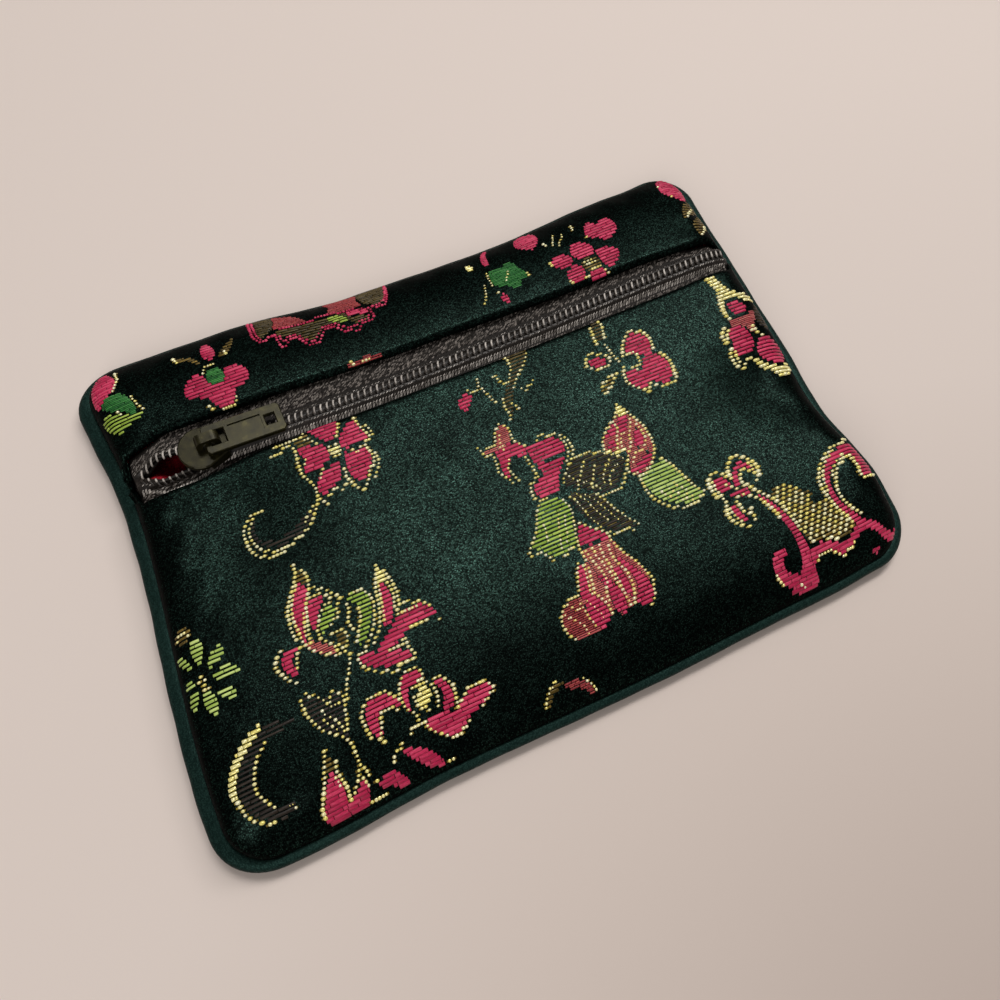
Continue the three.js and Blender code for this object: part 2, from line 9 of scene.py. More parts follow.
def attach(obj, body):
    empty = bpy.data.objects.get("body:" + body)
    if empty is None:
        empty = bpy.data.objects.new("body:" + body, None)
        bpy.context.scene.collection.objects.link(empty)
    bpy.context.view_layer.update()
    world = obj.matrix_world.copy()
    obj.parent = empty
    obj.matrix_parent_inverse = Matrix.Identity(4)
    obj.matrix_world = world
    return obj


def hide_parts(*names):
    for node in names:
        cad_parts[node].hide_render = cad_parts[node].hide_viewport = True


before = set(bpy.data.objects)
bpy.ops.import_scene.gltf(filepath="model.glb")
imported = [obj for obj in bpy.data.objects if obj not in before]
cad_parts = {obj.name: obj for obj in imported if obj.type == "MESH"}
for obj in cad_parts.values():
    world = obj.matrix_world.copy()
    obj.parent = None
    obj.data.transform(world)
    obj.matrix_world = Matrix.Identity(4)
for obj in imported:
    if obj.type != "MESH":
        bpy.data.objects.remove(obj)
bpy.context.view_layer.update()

MM = 0.001
SEED = 11
rng = np.random.default_rng(SEED)

# Sizes of the purse in millimetres
WIDTH = 120.0
HEIGHT = 88.0
HALF_X = 58.1
HALF_Y = 42.1
PIPING_RADIUS = 1.15
SEAM_Z = 2.05
RIM_STAND = 0.25
RIM_LIFT = 1.35
SHOULDER_Z = 7.7
DOME = 2.1
ROLL_LEFT = 6.2
ROLL_RIGHT = 5.7
ROLL_BOTTOM = 6.7
ROLL_TOP = 6.2
FOLD_RADIUS = 1.15
CLOTH = 0.8
LINING_INSET = 1.3
LINING_CLOTH = 0.5
TAPE_TOP = 7.8
TAPE_THICK = 0.9
TAPE_TUCK = 1.1
LINING_TUCK = 2.4
TAPE_SLIT = 0.15
ZIP_HALF = 57.0
ZIP_MIDDLE = 20
COIL_HALF = 56.4
ZIP_DIP = 2.8
ZIP_DIP_LENGTH = 7.0
COIL_PITCH = 1.13
COIL_WIRE = 0.17
COIL_MIDDLE = {1: 0.2, -1: 0.75}
COIL_REACH = 0.6
COIL_LEVEL = 8.62
COIL_RISE = 0.36
SLIDER_X = -42.6

# How far each side bows out of a plain rectangle: place along it, distance out
LEFT_BOW = ((-32, 1.5), (17, -2.1), (42, 0.0))
RIGHT_BOW = ((-44, -0.5), (-28, 1.0), (-12, -1.1), (4, -0.2), (30, 0.3), (43, 0.9))
BOTTOM_BOW = ((-48, 0.9), (-25, -0.3), (6, 0.0), (40, -0.7), (58, -1.7))
TOP_BOW = ((-33, 1.0), (-9, -1.2), (15, -1.4), (46, 0.9), (57, 1.6))

# Edges of the zip window and the chain line: place along the zip, height on the front
WINDOW_LOW = (
    (-58, 19), (-56.2, 15), (-48, 14.9), (-34, 16), (0, 16.2), (40, 16.5), (55, 17), (58, 20.3),
)
WINDOW_HIGH = (
    (-58, 19.4), (-56.2, 23.4), (-48, 24.8), (-34, 24.6), (0, 24.4), (40, 23.8), (55, 23.3), (58, 20.7),
)
CHAIN_LINE = ((-20, 19.3), (55, 20.6))
# How far the two rows of the chain part: place from the slider, distance
ROW_PARTING = ((-13.2, 0.0), (-8.5, 1.9), (-5, 1.75), (-2.7, 1.3), (2, 0.0))

# Soft hollows pressed into the front: centre, reach each way, depth
HOLLOWS = ((50, -7, 10, 10, 1.6), (-42, 4, 10, 10, 0.9))


# Value of a table at a place, eased from row to row
def lookup(table, at):
    places = np.array([row[0] for row in table], float)
    values = np.array([row[1] for row in table], float)
    at = np.clip(np.asarray(at, float), places[0], places[-1])
    low = np.clip(np.searchsorted(places, at, side="right") - 1, 0, len(places) - 2)
    share = (at - places[low]) / (places[low + 1] - places[low])
    share = share * share * (3 - 2 * share)
    return values[low] * (1 - share) + values[low + 1] * share


def bowed(x, y):
    side_x = np.where(x < 0, -lookup(LEFT_BOW, y), lookup(RIGHT_BOW, y))
    side_y = np.where(y < 0, -lookup(BOTTOM_BOW, x), lookup(TOP_BOW, x))
    return x + side_x * (2 * x / WIDTH) ** 2, y + side_y * (2 * y / HEIGHT) ** 2


# Share of the full height where the cloth rolls down: square at the left and top, round elsewhere
SQUARE_ROLL = 4
ROUND_ROLL = 2


def edge_lift(x, y):
    roll_x = np.where(x < 0, ROLL_LEFT, ROLL_RIGHT)
    roll_y = np.where(y < 0, ROLL_BOTTOM, ROLL_TOP)
    over_x = np.clip((np.abs(x) - HALF_X + roll_x) / roll_x, 0, None)
    over_y = np.clip((np.abs(y) - HALF_Y + roll_y) / roll_y, 0, None)
    out = np.clip(np.hypot(over_x, over_y), 1e-6, 1)
    soft = np.where(y < 0, (over_y / out) ** 2, 0) + np.where(x > 0, (over_x / out) ** 2, 0)
    power = SQUARE_ROLL - (SQUARE_ROLL - ROUND_ROLL) * np.clip(soft, 0, 1)
    return (1 - out**power) ** (1 / power)


def hollow_at(x, y):
    depth = np.zeros_like(x)
    for middle_x, middle_y, reach_x, reach_y, deep in HOLLOWS:
        depth += deep * np.exp(-(((x - middle_x) / reach_x) ** 2) - ((y - middle_y) / reach_y) ** 2)
    return depth


# Small puckers that the seam draws into the cloth, fading away from the edge
PUCKER_DEPTH = 0.16
PUCKER_FROM_SEAM = 4.0
PUCKER_REACH = 4.5
PUCKER_WAVE_X = (0.92, 1.3, 0.21)
PUCKER_WAVE_Y = (0.78, 1.1, 0.17)


# A wave along one direction that wanders along the other
def wander(at, across, rate, stray, stray_rate):
    return np.sin(rate * at + stray * np.sin(stray_rate * across))


def pucker(x, y):
    from_side = np.minimum(HALF_X - np.abs(x), HALF_Y - np.abs(y))
    wave = wander(x, y, *PUCKER_WAVE_X) * wander(y, x, *PUCKER_WAVE_Y)
    return PUCKER_DEPTH * wave * np.exp(-((from_side - PUCKER_FROM_SEAM) / PUCKER_REACH) ** 2)


# Away from the filled middle the cloth is slack and falls gently towards the seams
BOTTOM_FALL = ((-57, -33), (-40, -32), (-20, -21), (0, -21), (20, -35), (57, -32))
STRIP_FALL = ((-57, 26), (20, 26), (45, 22))
RIGHT_FALL = 32.0
RIGHT_FALL_Y = -6
RIGHT_FALL_REACH = 14
BOTTOM_SLACK = 1.6
STRIP_SLACK = 2.8
RIGHT_SLACK = 1.2


def slack(x, y):
    start = lookup(BOTTOM_FALL, x)
    below = np.clip((start - y) / (start + HALF_Y), 0, 1)
    strip_start = lookup(STRIP_FALL, x)
    above = np.clip((y - strip_start) / (HALF_Y - strip_start), 0, 1)
    beside = np.exp(-(((y - RIGHT_FALL_Y) / RIGHT_FALL_REACH) ** 2))
    right = np.clip((x - RIGHT_FALL) / (HALF_X - RIGHT_FALL), 0, 1) * beside
    return BOTTOM_SLACK * below**2 + STRIP_SLACK * above**2 + RIGHT_SLACK * right**2


# The crown is flat along the purse and rounder across it
CROWN_POWER_X = 24
CROWN_POWER_Y = 8


def front_top(x, y):
    crown = DOME * (1 - (x / HALF_X) ** CROWN_POWER_X) * (1 - (y / HALF_Y) ** CROWN_POWER_Y)
    return SHOULDER_Z + crown - hollow_at(x, y) - slack(x, y) + pucker(x, y)


# How far the cloth has turned down where it folds under beside the zip
def fold_drop(x, y):
    below = (y - lookup(WINDOW_LOW, x) + FOLD_RADIUS) / FOLD_RADIUS
    above = (lookup(WINDOW_HIGH, x) + FOLD_RADIUS - y) / FOLD_RADIUS
    turn = np.clip(np.where(y < ZIP_MIDDLE, below, above), 0, 1)
    return FOLD_RADIUS * (1 - np.sqrt(1 - turn**2))


def front_surface(x, y):
    rim = SEAM_Z + RIM_LIFT
    z = rim + (front_top(x, y) - fold_drop(x, y) - rim) * edge_lift(x, y)
    return np.stack([*bowed(x, y), z], -1)


# The back lies flat, just far enough off the table for its raised weave
BACK_CLEAR = 0.42


def back_surface(x, y):
    z = BACK_CLEAR + (SEAM_Z - RIM_LIFT - BACK_CLEAR) * (1 - edge_lift(x, y))
    return np.stack([*bowed(x, y), z], -1)


def facing(surface, x, y):
    step = 0.12
    east = surface(x + step, y) - surface(x - step, y)
    north = surface(x, y + step) - surface(x, y - step)
    normal = np.cross(east, north)
    return normal / np.linalg.norm(normal, axis=-1, keepdims=True)


def on_front(x, y, height):
    return front_surface(x, y) + facing(front_surface, x, y) * height[..., None]


# The back takes the chart of the front turned over, so that it reads the same from behind
def on_back(x, y, height):
    return back_surface(-x, y) - facing(back_surface, -x, y) * height[..., None]


def add_mesh(name, points, faces, material, tone=None):
    mesh = bpy.data.meshes.new(name)
    mesh.from_pydata((np.asarray(points) * MM).tolist(), [], faces)
    mesh.polygons.foreach_set("use_smooth", np.ones(len(mesh.polygons), bool))
    if tone is not None:
        attribute = mesh.attributes.new("tone", "FLOAT", "POINT")
        attribute.data.foreach_set("value", np.asarray(tone, np.float32))
    mesh.update()
    mesh.materials.append(material)
    piece = bpy.data.objects.new(name, mesh)
    bpy.context.scene.collection.objects.link(piece)
    return piece


# Several meshes as one
def joined(parts):
    firsts = np.cumsum([0] + [len(part[0]) for part in parts[:-1]])
    faces = [(np.array(part[1]) + first).tolist() for part, first in zip(parts, firsts)]
    return np.concatenate([part[0] for part in parts]), sum(faces, [])


# Four-sided faces of a grid of points stored column by column
def grid_faces(columns, rows, first=0):
    corner = first + np.arange(columns * rows).reshape(columns, rows)
    quads = np.stack([corner[:-1, :-1], corner[1:, :-1], corner[1:, 1:], corner[:-1, 1:]], -1)
    return quads.reshape(-1, 4)


# Directions square to a grid, level along its edges, so that a wall ends upright
def grid_normals(grid):
    normal = np.cross(np.gradient(grid, axis=0), np.gradient(grid, axis=1))
    for edge in (normal[0], normal[-1], normal[:, 0], normal[:, -1]):
        edge[:, 2] = 0
    normal /= np.maximum(np.linalg.norm(normal, axis=-1, keepdims=True), 1e-9)
    for i, beside in ((0, 1), (-1, -2)):
        for j, along in ((0, 1), (-1, -2)):
            mean = normal[beside, j] + normal[i, along]
            normal[i, j] = mean / np.linalg.norm(mean)
    return normal


# A closed cloth wall: the grid is its outer face, the inner face lies a thickness behind it
def cloth_wall(grid, thick):
    columns, rows = grid.shape[:2]
    size = columns * rows
    inner = grid - grid_normals(grid) * thick
    points = np.concatenate([grid.reshape(-1, 3), inner.reshape(-1, 3)])
    corner = np.arange(size).reshape(columns, rows)
    rim = np.concatenate([corner[:, 0], corner[-1, 1:], corner[-2::-1, -1], corner[0, -2:0:-1]])
    after = np.roll(rim, -1)
    sides = np.stack([rim, rim + size, after + size, after], -1)
    front = grid_faces(columns, rows)
    behind = grid_faces(columns, rows, size)[:, ::-1]
    return points, np.concatenate([front, behind, sides]).tolist()


# Places along one side: a finely divided roll, even steps, a second roll
def stations(low, high, roll_low, roll_high, roll_steps, mid_steps):
    turn = np.cos(np.arange(roll_steps) / roll_steps * math.pi / 2)
    middle = np.linspace(low + roll_low, high - roll_high, mid_steps + 1)
    at = np.concatenate([low + roll_low * (1 - turn), middle, (high - roll_high * (1 - turn))[::-1]])
    turns = np.concatenate([-turn, np.zeros(mid_steps + 1), turn[::-1]])
    return at, turns


# Plan position on a shell whose corners are rounded by the two rolls that meet there
def shell_plan(at_x, turn_x, at_y, turn_y, inset):
    roll_x = np.where(turn_x < 0, ROLL_LEFT, ROLL_RIGHT) - inset
    roll_y = np.where(turn_y < 0, ROLL_BOTTOM, ROLL_TOP) - inset
    across = turn_x * np.sqrt(1 - turn_y**2 / 2)
    along = turn_y * np.sqrt(1 - turn_x**2 / 2)
    corner_x = np.sign(turn_x) * (HALF_X - inset - roll_x) + roll_x * across
    corner_y = np.sign(turn_y) * (HALF_Y - inset - roll_y) + roll_y * along
    return np.where(turn_x == 0, at_x, corner_x), np.where(turn_y == 0, at_y, corner_y)


COLUMN_STEPS = 130
ROLL_STEPS = 10
FRONT_ROWS = 70
STRIP_ROWS = 22
BACK_ROWS = 90


def column_stations(inset):
    rolls = (ROLL_LEFT - inset, ROLL_RIGHT - inset)
    return stations(inset - HALF_X, HALF_X - inset, *rolls, ROLL_STEPS, COLUMN_STEPS)


# One front panel between the seam and the zip window
def front_grid(above_zip, row_steps):
    column_at, column_turn = column_stations(0)
    lines = []
    for at_x, turn_x in zip(column_at, column_turn):
        if above_zip:
            low = float(lookup(WINDOW_HIGH, at_x))
            at_y, turn_y = stations(low, HALF_Y, FOLD_RADIUS, ROLL_TOP, ROLL_STEPS, row_steps)
            turn_y = np.where(turn_y < 0, 0, turn_y)
        else:
            high = float(lookup(WINDOW_LOW, at_x))
            at_y, turn_y = stations(-HALF_Y, high, ROLL_BOTTOM, FOLD_RADIUS, ROLL_STEPS, row_steps)
            turn_y = np.where(turn_y > 0, 0, turn_y)
        x, y = shell_plan(np.full_like(at_y, at_x), np.full_like(at_y, turn_x), at_y, turn_y, 0)
        lines.append(front_surface(x, y))
    return np.stack(lines)


def back_grid():
    column_at, column_turn = column_stations(0)
    row_at, row_turn = stations(-HALF_Y, HALF_Y, ROLL_BOTTOM, ROLL_TOP, ROLL_STEPS, BACK_ROWS)
    at_x, at_y = np.meshgrid(column_at, row_at, indexing="ij")
    turn_x, turn_y = np.meshgrid(column_turn, row_turn, indexing="ij")
    return back_surface(*shell_plan(at_x, turn_x, at_y, turn_y, 0))


# Colours are written as they look on screen, and turned into light values here
def colour(red, green, blue):
    screen = np.array([red, green, blue]) / 255
    light = np.where(screen <= 0.04045, screen / 12.92, ((screen + 0.055) / 1.055) ** 2.4)
    return (*light.tolist(), 1.0)


def new_material(name):
    material = bpy.data.materials.new(name)
    material.use_nodes = True
    return material, material.node_tree, material.node_tree.nodes["Principled BSDF"]


def node(tree, kind, **settings):
    made = tree.nodes.new(kind)
    for key, value in settings.items():
        setattr(made, key, value)
    return made


def set_inputs(made, values):
    for name, value in values.items():
        made.inputs[name].default_value = value


def ramp(tree, source, stops):
    made = tree.nodes.new("ShaderNodeValToRGB")
    made.color_ramp.elements[0].position = stops[0][0]
    made.color_ramp.elements[0].color = stops[0][1]
    made.color_ramp.elements[1].position = stops[-1][0]
    made.color_ramp.elements[1].color = stops[-1][1]
    for place, tint in stops[1:-1]:
        element = made.color_ramp.elements.new(place)
        element.color = tint
    tree.links.new(source, made.inputs["Fac"])
    return made.outputs["Color"]


# Coordinates fixed to the object, stretched so that one unit is one cell
def stretched(tree, cell_x, cell_y, cell_z):
    place = tree.nodes.new("ShaderNodeTexCoord")
    spread = tree.nodes.new("ShaderNodeMapping")
    spread.inputs["Scale"].default_value = (1 / (cell_x * MM), 1 / (cell_y * MM), 1 / (cell_z * MM))
    tree.links.new(place.outputs["Object"], spread.inputs["Vector"])
    return spread.outputs["Vector"]


def math_node(tree, operation, *values):
    made = node(tree, "ShaderNodeMath", operation=operation)
    for slot, value in zip(made.inputs, values):
        if isinstance(value, float):
            slot.default_value = value
        else:
            tree.links.new(value, slot)
    return made.outputs["Value"]


def noise(tree, cell, detail):
    made = tree.nodes.new("ShaderNodeTexNoise")
    set_inputs(made, {"Scale": 1.0, "Detail": detail})
    tree.links.new(stretched(tree, *cell), made.inputs["Vector"])
    return made.outputs["Fac"]


# Roughness that follows a pattern from one value to another
def rough_from(tree, shader, source, low, high):
    rough = tree.nodes.new("ShaderNodeMapRange")
    set_inputs(rough, {"To Min": low, "To Max": high})
    tree.links.new(source, rough.inputs["Value"])
    tree.links.new(rough.outputs["Result"], shader.inputs["Roughness"])


def add_bump(tree, shader, height, strength, distance):
    bump = tree.nodes.new("ShaderNodeBump")
    set_inputs(bump, {"Strength": strength, "Distance": distance * MM})
    tree.links.new(height, bump.inputs["Height"])
    tree.links.new(bump.outputs["Normal"], shader.inputs["Normal"])


# Satin: tiny weave points of uneven lightness under a soft gloss
POINT_STRAY = 0.7
POINT_UNEVEN = 0.45
POINT_EDGE = 0.48
POINT_CONTRAST = 0.62
CLOUD_CELL = (9.0, 9.0, 9.0)
CLOUD_SHARE = 0.35
GLOSS_SPREAD = 0.1
SATIN_RELIEF = 0.12


def satin(name, stops, cell, gloss, bump, metal, shine, tint):
    material, tree, shader = new_material(name)
    cells = node(tree, "ShaderNodeTexVoronoi", voronoi_dimensions="2D")
    set_inputs(cells, {"Scale": 1.0, "Randomness": POINT_STRAY})
    tree.links.new(stretched(tree, *cell), cells.inputs["Vector"])
    split = tree.nodes.new("ShaderNodeSeparateColor")
    tree.links.new(cells.outputs["Color"], split.inputs["Color"])
    uneven = math_node(tree, "MULTIPLY", split.outputs["Red"], POINT_UNEVEN)
    hills = math_node(tree, "SUBTRACT", POINT_EDGE, cells.outputs["Distance"])
    points = math_node(tree, "MULTIPLY_ADD", hills, POINT_CONTRAST, uneven)
    clouds = math_node(tree, "MULTIPLY", noise(tree, CLOUD_CELL, detail=4.0), CLOUD_SHARE)
    level = math_node(tree, "ADD", points, clouds)
    tree.links.new(ramp(tree, level, stops), shader.inputs["Base Color"])
    rough_from(tree, shader, split.outputs["Green"], gloss - GLOSS_SPREAD, gloss + GLOSS_SPREAD)
    set_inputs(shader, {"Metallic": metal, "Specular IOR Level": shine, "Specular Tint": tint})
    add_bump(tree, shader, noise(tree, cell, detail=1.0), bump, SATIN_RELIEF)
    return material


# Yarn of the raised weave: its tone varies float by float, with fine strands along it
STRAND_CELL = (0.7, 0.13, 0.2)
STRAND_SHARE = 0.5
TONE_SHARE = 0.75
STRAND_BUMP = 0.35
STRAND_RELIEF = 0.05


def yarn_material(name, stops, gloss, metal, shine=0.3):
    material, tree, shader = new_material(name)
    tone = node(tree, "ShaderNodeAttribute", attribute_name="tone")
    strands = noise(tree, STRAND_CELL, detail=2.0)
    spread = math_node(tree, "MULTIPLY", strands, STRAND_SHARE)
    base = math_node(tree, "MULTIPLY", tone.outputs["Fac"], TONE_SHARE)
    level = math_node(tree, "ADD", base, spread)
    tree.links.new(ramp(tree, level, stops), shader.inputs["Base Color"])
    set_inputs(shader, {"Roughness": gloss, "Metallic": metal, "Specular IOR Level": shine})
    add_bump(tree, shader, strands, STRAND_BUMP, STRAND_RELIEF)
    return material


# The satin mirrors light along its threads much as a dark metal does, and hardly at all at its edges
EDGE_TINT = (0.04, 0.05, 0.05, 1.0)
PLAIN_TINT = (1.0, 1.0, 1.0, 1.0)
GROUND_STOPS = (
    (0.2, colour(5, 8, 7)),
    (0.5, colour(15, 24, 21)),
    (0.72, colour(31, 47, 42)),
    (0.9, colour(55, 82, 74)),
)
CORD_STOPS = ((0.05, colour(17, 32, 29)), (0.45, colour(28, 48, 44)), (0.8, colour(44, 68, 63)))
RED_STOPS = ((0.1, colour(112, 8, 20)), (0.6, colour(168, 18, 38)), (1.0, colour(210, 48, 66)))
GROUND_CELL = (0.26, 0.2, 0.26)
CORD_CELL = (0.2, 0.2, 0.2)
RED_CELL = (0.3, 0.3, 0.3)
ground_satin = satin(
    "ground_satin", GROUND_STOPS, GROUND_CELL, gloss=0.37, bump=0.12, metal=0.8, shine=0.05, tint=EDGE_TINT
)
piping_satin = satin(
    "piping_satin", CORD_STOPS, CORD_CELL, gloss=0.42, bump=0.2, metal=0.3, shine=0.1, tint=EDGE_TINT
)
lining_red = satin(
    "lining_red", RED_STOPS, RED_CELL, gloss=0.55, bump=0.4, metal=0.0, shine=0.3, tint=PLAIN_TINT
)

# Yarns: dark, middle and light tint, gloss, metal; strands in a row; width, height and length of a float
Yarn = namedtuple("Yarn", "material strands width height length")
YARN_PLACES = (0.1, 0.55, 1.0)
PINK_PLACES = (0.15, 0.6, 1.0)
GOLD_PLACES = (0.1, 0.45, 1.0)
GOLD_SHINE = 0.9
PINK_TINTS = ((92, 8, 32), (190, 34, 80), (236, 88, 124))
GOLD_TINTS = ((190, 164, 44), (250, 236, 128), (255, 252, 212))


def new_yarn(name, tints, gloss, metal, strands, width, height, length, places=YARN_PLACES, shine=0.3):
    stops = tuple((place, colour(*tint)) for place, tint in zip(places, tints))
    material = yarn_material("yarn_" + name, stops, gloss, metal, shine)
    return Yarn(material, strands, width, height, length)


YARN_VALUES = {
    "pink": (PINK_TINTS, 0.45, 0.0, 1, 0.65, 0.17, 3.4, PINK_PLACES),
    "rose": (((104, 30, 36), (180, 78, 80), (224, 138, 126)), 0.45, 0.0, 2, 0.29, 0.14, 2.4),
    "russet": (((72, 14, 20), (144, 44, 50), (192, 88, 80)), 0.45, 0.0, 2, 0.29, 0.14, 1.6),
    "green": (((84, 108, 24), (146, 174, 62), (204, 226, 112)), 0.45, 0.0, 1, 0.44, 0.17, 3.2),
    "emerald": (((7, 44, 15), (28, 104, 40), (84, 160, 78)), 0.45, 0.0, 2, 0.3, 0.14, 3.0),
    "dark": (((14, 10, 8), (31, 24, 19), (60, 49, 38)), 0.5, 0.0, 1, 0.48, 0.17, 6.0),
    "bronze": (((34, 28, 6), (86, 70, 22), (150, 124, 54)), 0.4, 0.3, 1, 0.5, 0.14, 2.2),
    "olive": (((26, 20, 5), (64, 52, 16), (108, 90, 36)), 0.4, 0.0, 1, 0.48, 0.15, 2.4),
    "carrier": (((58, 46, 8), (132, 112, 26), (206, 184, 62)), 0.4, 0.3, 1, 0.4, 0.08, 2.2),
    # Lightened green: the green yarn made lighter, a painted sheen on the feather leaf and the daisy
    "sheen_green": (((100, 124, 40), (168, 194, 92), (226, 240, 158)), 0.4, 0.0, 1, 0.48, 0.17, 3.0),
    "gold": (GOLD_TINTS, 0.24, 0.2, 1, 0.6, 0.22, 2.2, GOLD_PLACES, GOLD_SHINE),
}
YARNS = {name: new_yarn(name, *values) for name, values in YARN_VALUES.items()}

# Brocade chart. A fill names its yarn and the outline of one shape, on the front, in millimetres
Fill = namedtuple("Fill", "yarn points")
FLOWER_FILLS = (
    Fill("pink", ((-26.7, 16), (-22, 16), (-22.3, 14), (-23, 13.2), (-24.2, 12.8), (-25.3, 13.4),
        (-26.3, 14.8))),
    Fill("pink", ((-22.5, 12.6), (-21, 14), (-19.8, 15), (-18.9, 14.6), (-18.6, 13), (-18, 11.5),
        (-18.4, 10.6), (-20.5, 10.5), (-22.6, 10.6))),
    Fill("pink", ((-22.5, 9.9), (-21.2, 9.2), (-18.9, 9.3), (-18.8, 7.2), (-19.5, 6), (-20.3, 5.2),
        (-21, 4.3), (-22.2, 4.4), (-23, 5.5), (-23.2, 7), (-22.9, 8.8))),
    Fill("pink", ((-24, 9), (-24.3, 7), (-25, 5.5), (-26.5, 5), (-28, 4.3), (-28.9, 5), (-28.6, 6.5),
        (-27.6, 7.6), (-26, 8.3))),
    Fill("pink", ((-25.3, 12.4), (-27, 13), (-29.3, 13.4), (-29.6, 12.5), (-29, 11), (-29.8, 9.5),
        (-29.5, 8.6), (-28, 8.8), (-26, 9.3), (-25, 10.2))),
    Fill("bronze", ((-29.6, 15.2), (-27.2, 15.2), (-26.9, 13.6), (-29.4, 13.7))),
    Fill("gold", ((-24.6, 11.2), (-23.9, 11.7), (-23.1, 11.1), (-23.4, 10.2), (-24.3, 10.2))),
    Fill("dark", ((-30.6, 2.6), (-31.6, 1.2), (-33.2, 0), (-35.2, -0.6), (-37.4, -0.9), (-39.4, -0.3),
        (-40.8, 1), (-41.4, 2.7), (-40.8, 4.4), (-39.9, 5), (-40.6, 3), (-40, 1.2), (-38.2, 0.5),
        (-36.2, 0.6), (-34, 1.4), (-32.4, 2.4))),
    Fill("pink", ((-2.0, 10.2), (-1.6, 11.2), (-0.5, 11.8), (0.5, 11.7), (0.9, 11.1), (0.4, 10.3),
        (-0.2, 9.6), (-1, 8.9), (-1.7, 9.3))),
    Fill("olive", ((9.3, 16.3), (12.5, 16.3), (13, 15.2), (11.6, 13.5), (10.2, 12.2), (8.7, 10.8),
        (7.8, 9.3), (6.9, 7.6), (6.2, 6), (5.5, 4.8), (5, 5), (5, 6.5), (5.4, 8), (6.2, 9.4), (7.2, 11),
        (8.6, 12.2), (9.3, 13.6), (9.5, 15))),
    Fill("olive", ((25.2, 15), (25.8, 15.8), (27, 15.7), (27.4, 15), (27, 13.8), (26.6, 12.6),
        (25.9, 12.1), (25.2, 12.8), (25.3, 13.9))),
    Fill("pink", ((21.8, 8.9), (22.5, 9.7), (23.6, 9.4), (24.5, 8.8), (25, 8.2), (24.3, 7.6), (23.2, 7.5),
        (22.2, 8))),
    Fill("bronze", ((21.2, 2.9), (21.8, 3.8), (22.7, 4.6), (24, 5), (25.3, 5.3), (24.4, 4.4), (23.4, 3.4),
        (22.3, 2.7))),
    Fill("olive", ((28.3, 8.1), (28.9, 9.6), (30, 10.9), (31.5, 11.5), (33.2, 10.7), (34, 8.8), (33.4, 7),
        (31.6, 6.6), (30, 7.2))),
    Fill("pink", ((28.8, 8.3), (29.4, 9.6), (30.4, 10.8), (31.6, 11.2), (32.9, 10.5), (33.6, 9.4),
        (33.6, 8.2), (33, 7), (31.6, 6.7), (30.4, 7.3))),
    Fill("pink", ((26.6, 3.6), (27, 4.8), (28, 5), (29, 4.5), (30, 4.5), (30.6, 5.4), (31, 6.2),
        (32.2, 6.7), (33.3, 6.3), (34, 5.2), (34.7, 4), (34.6, 2.6), (34.2, 1.2), (33, 0.4), (31.6, 0.6),
        (30.6, 1.3), (29.6, 1.3), (28.6, 0.7), (27.4, 1.4), (26.7, 2.4))),
)
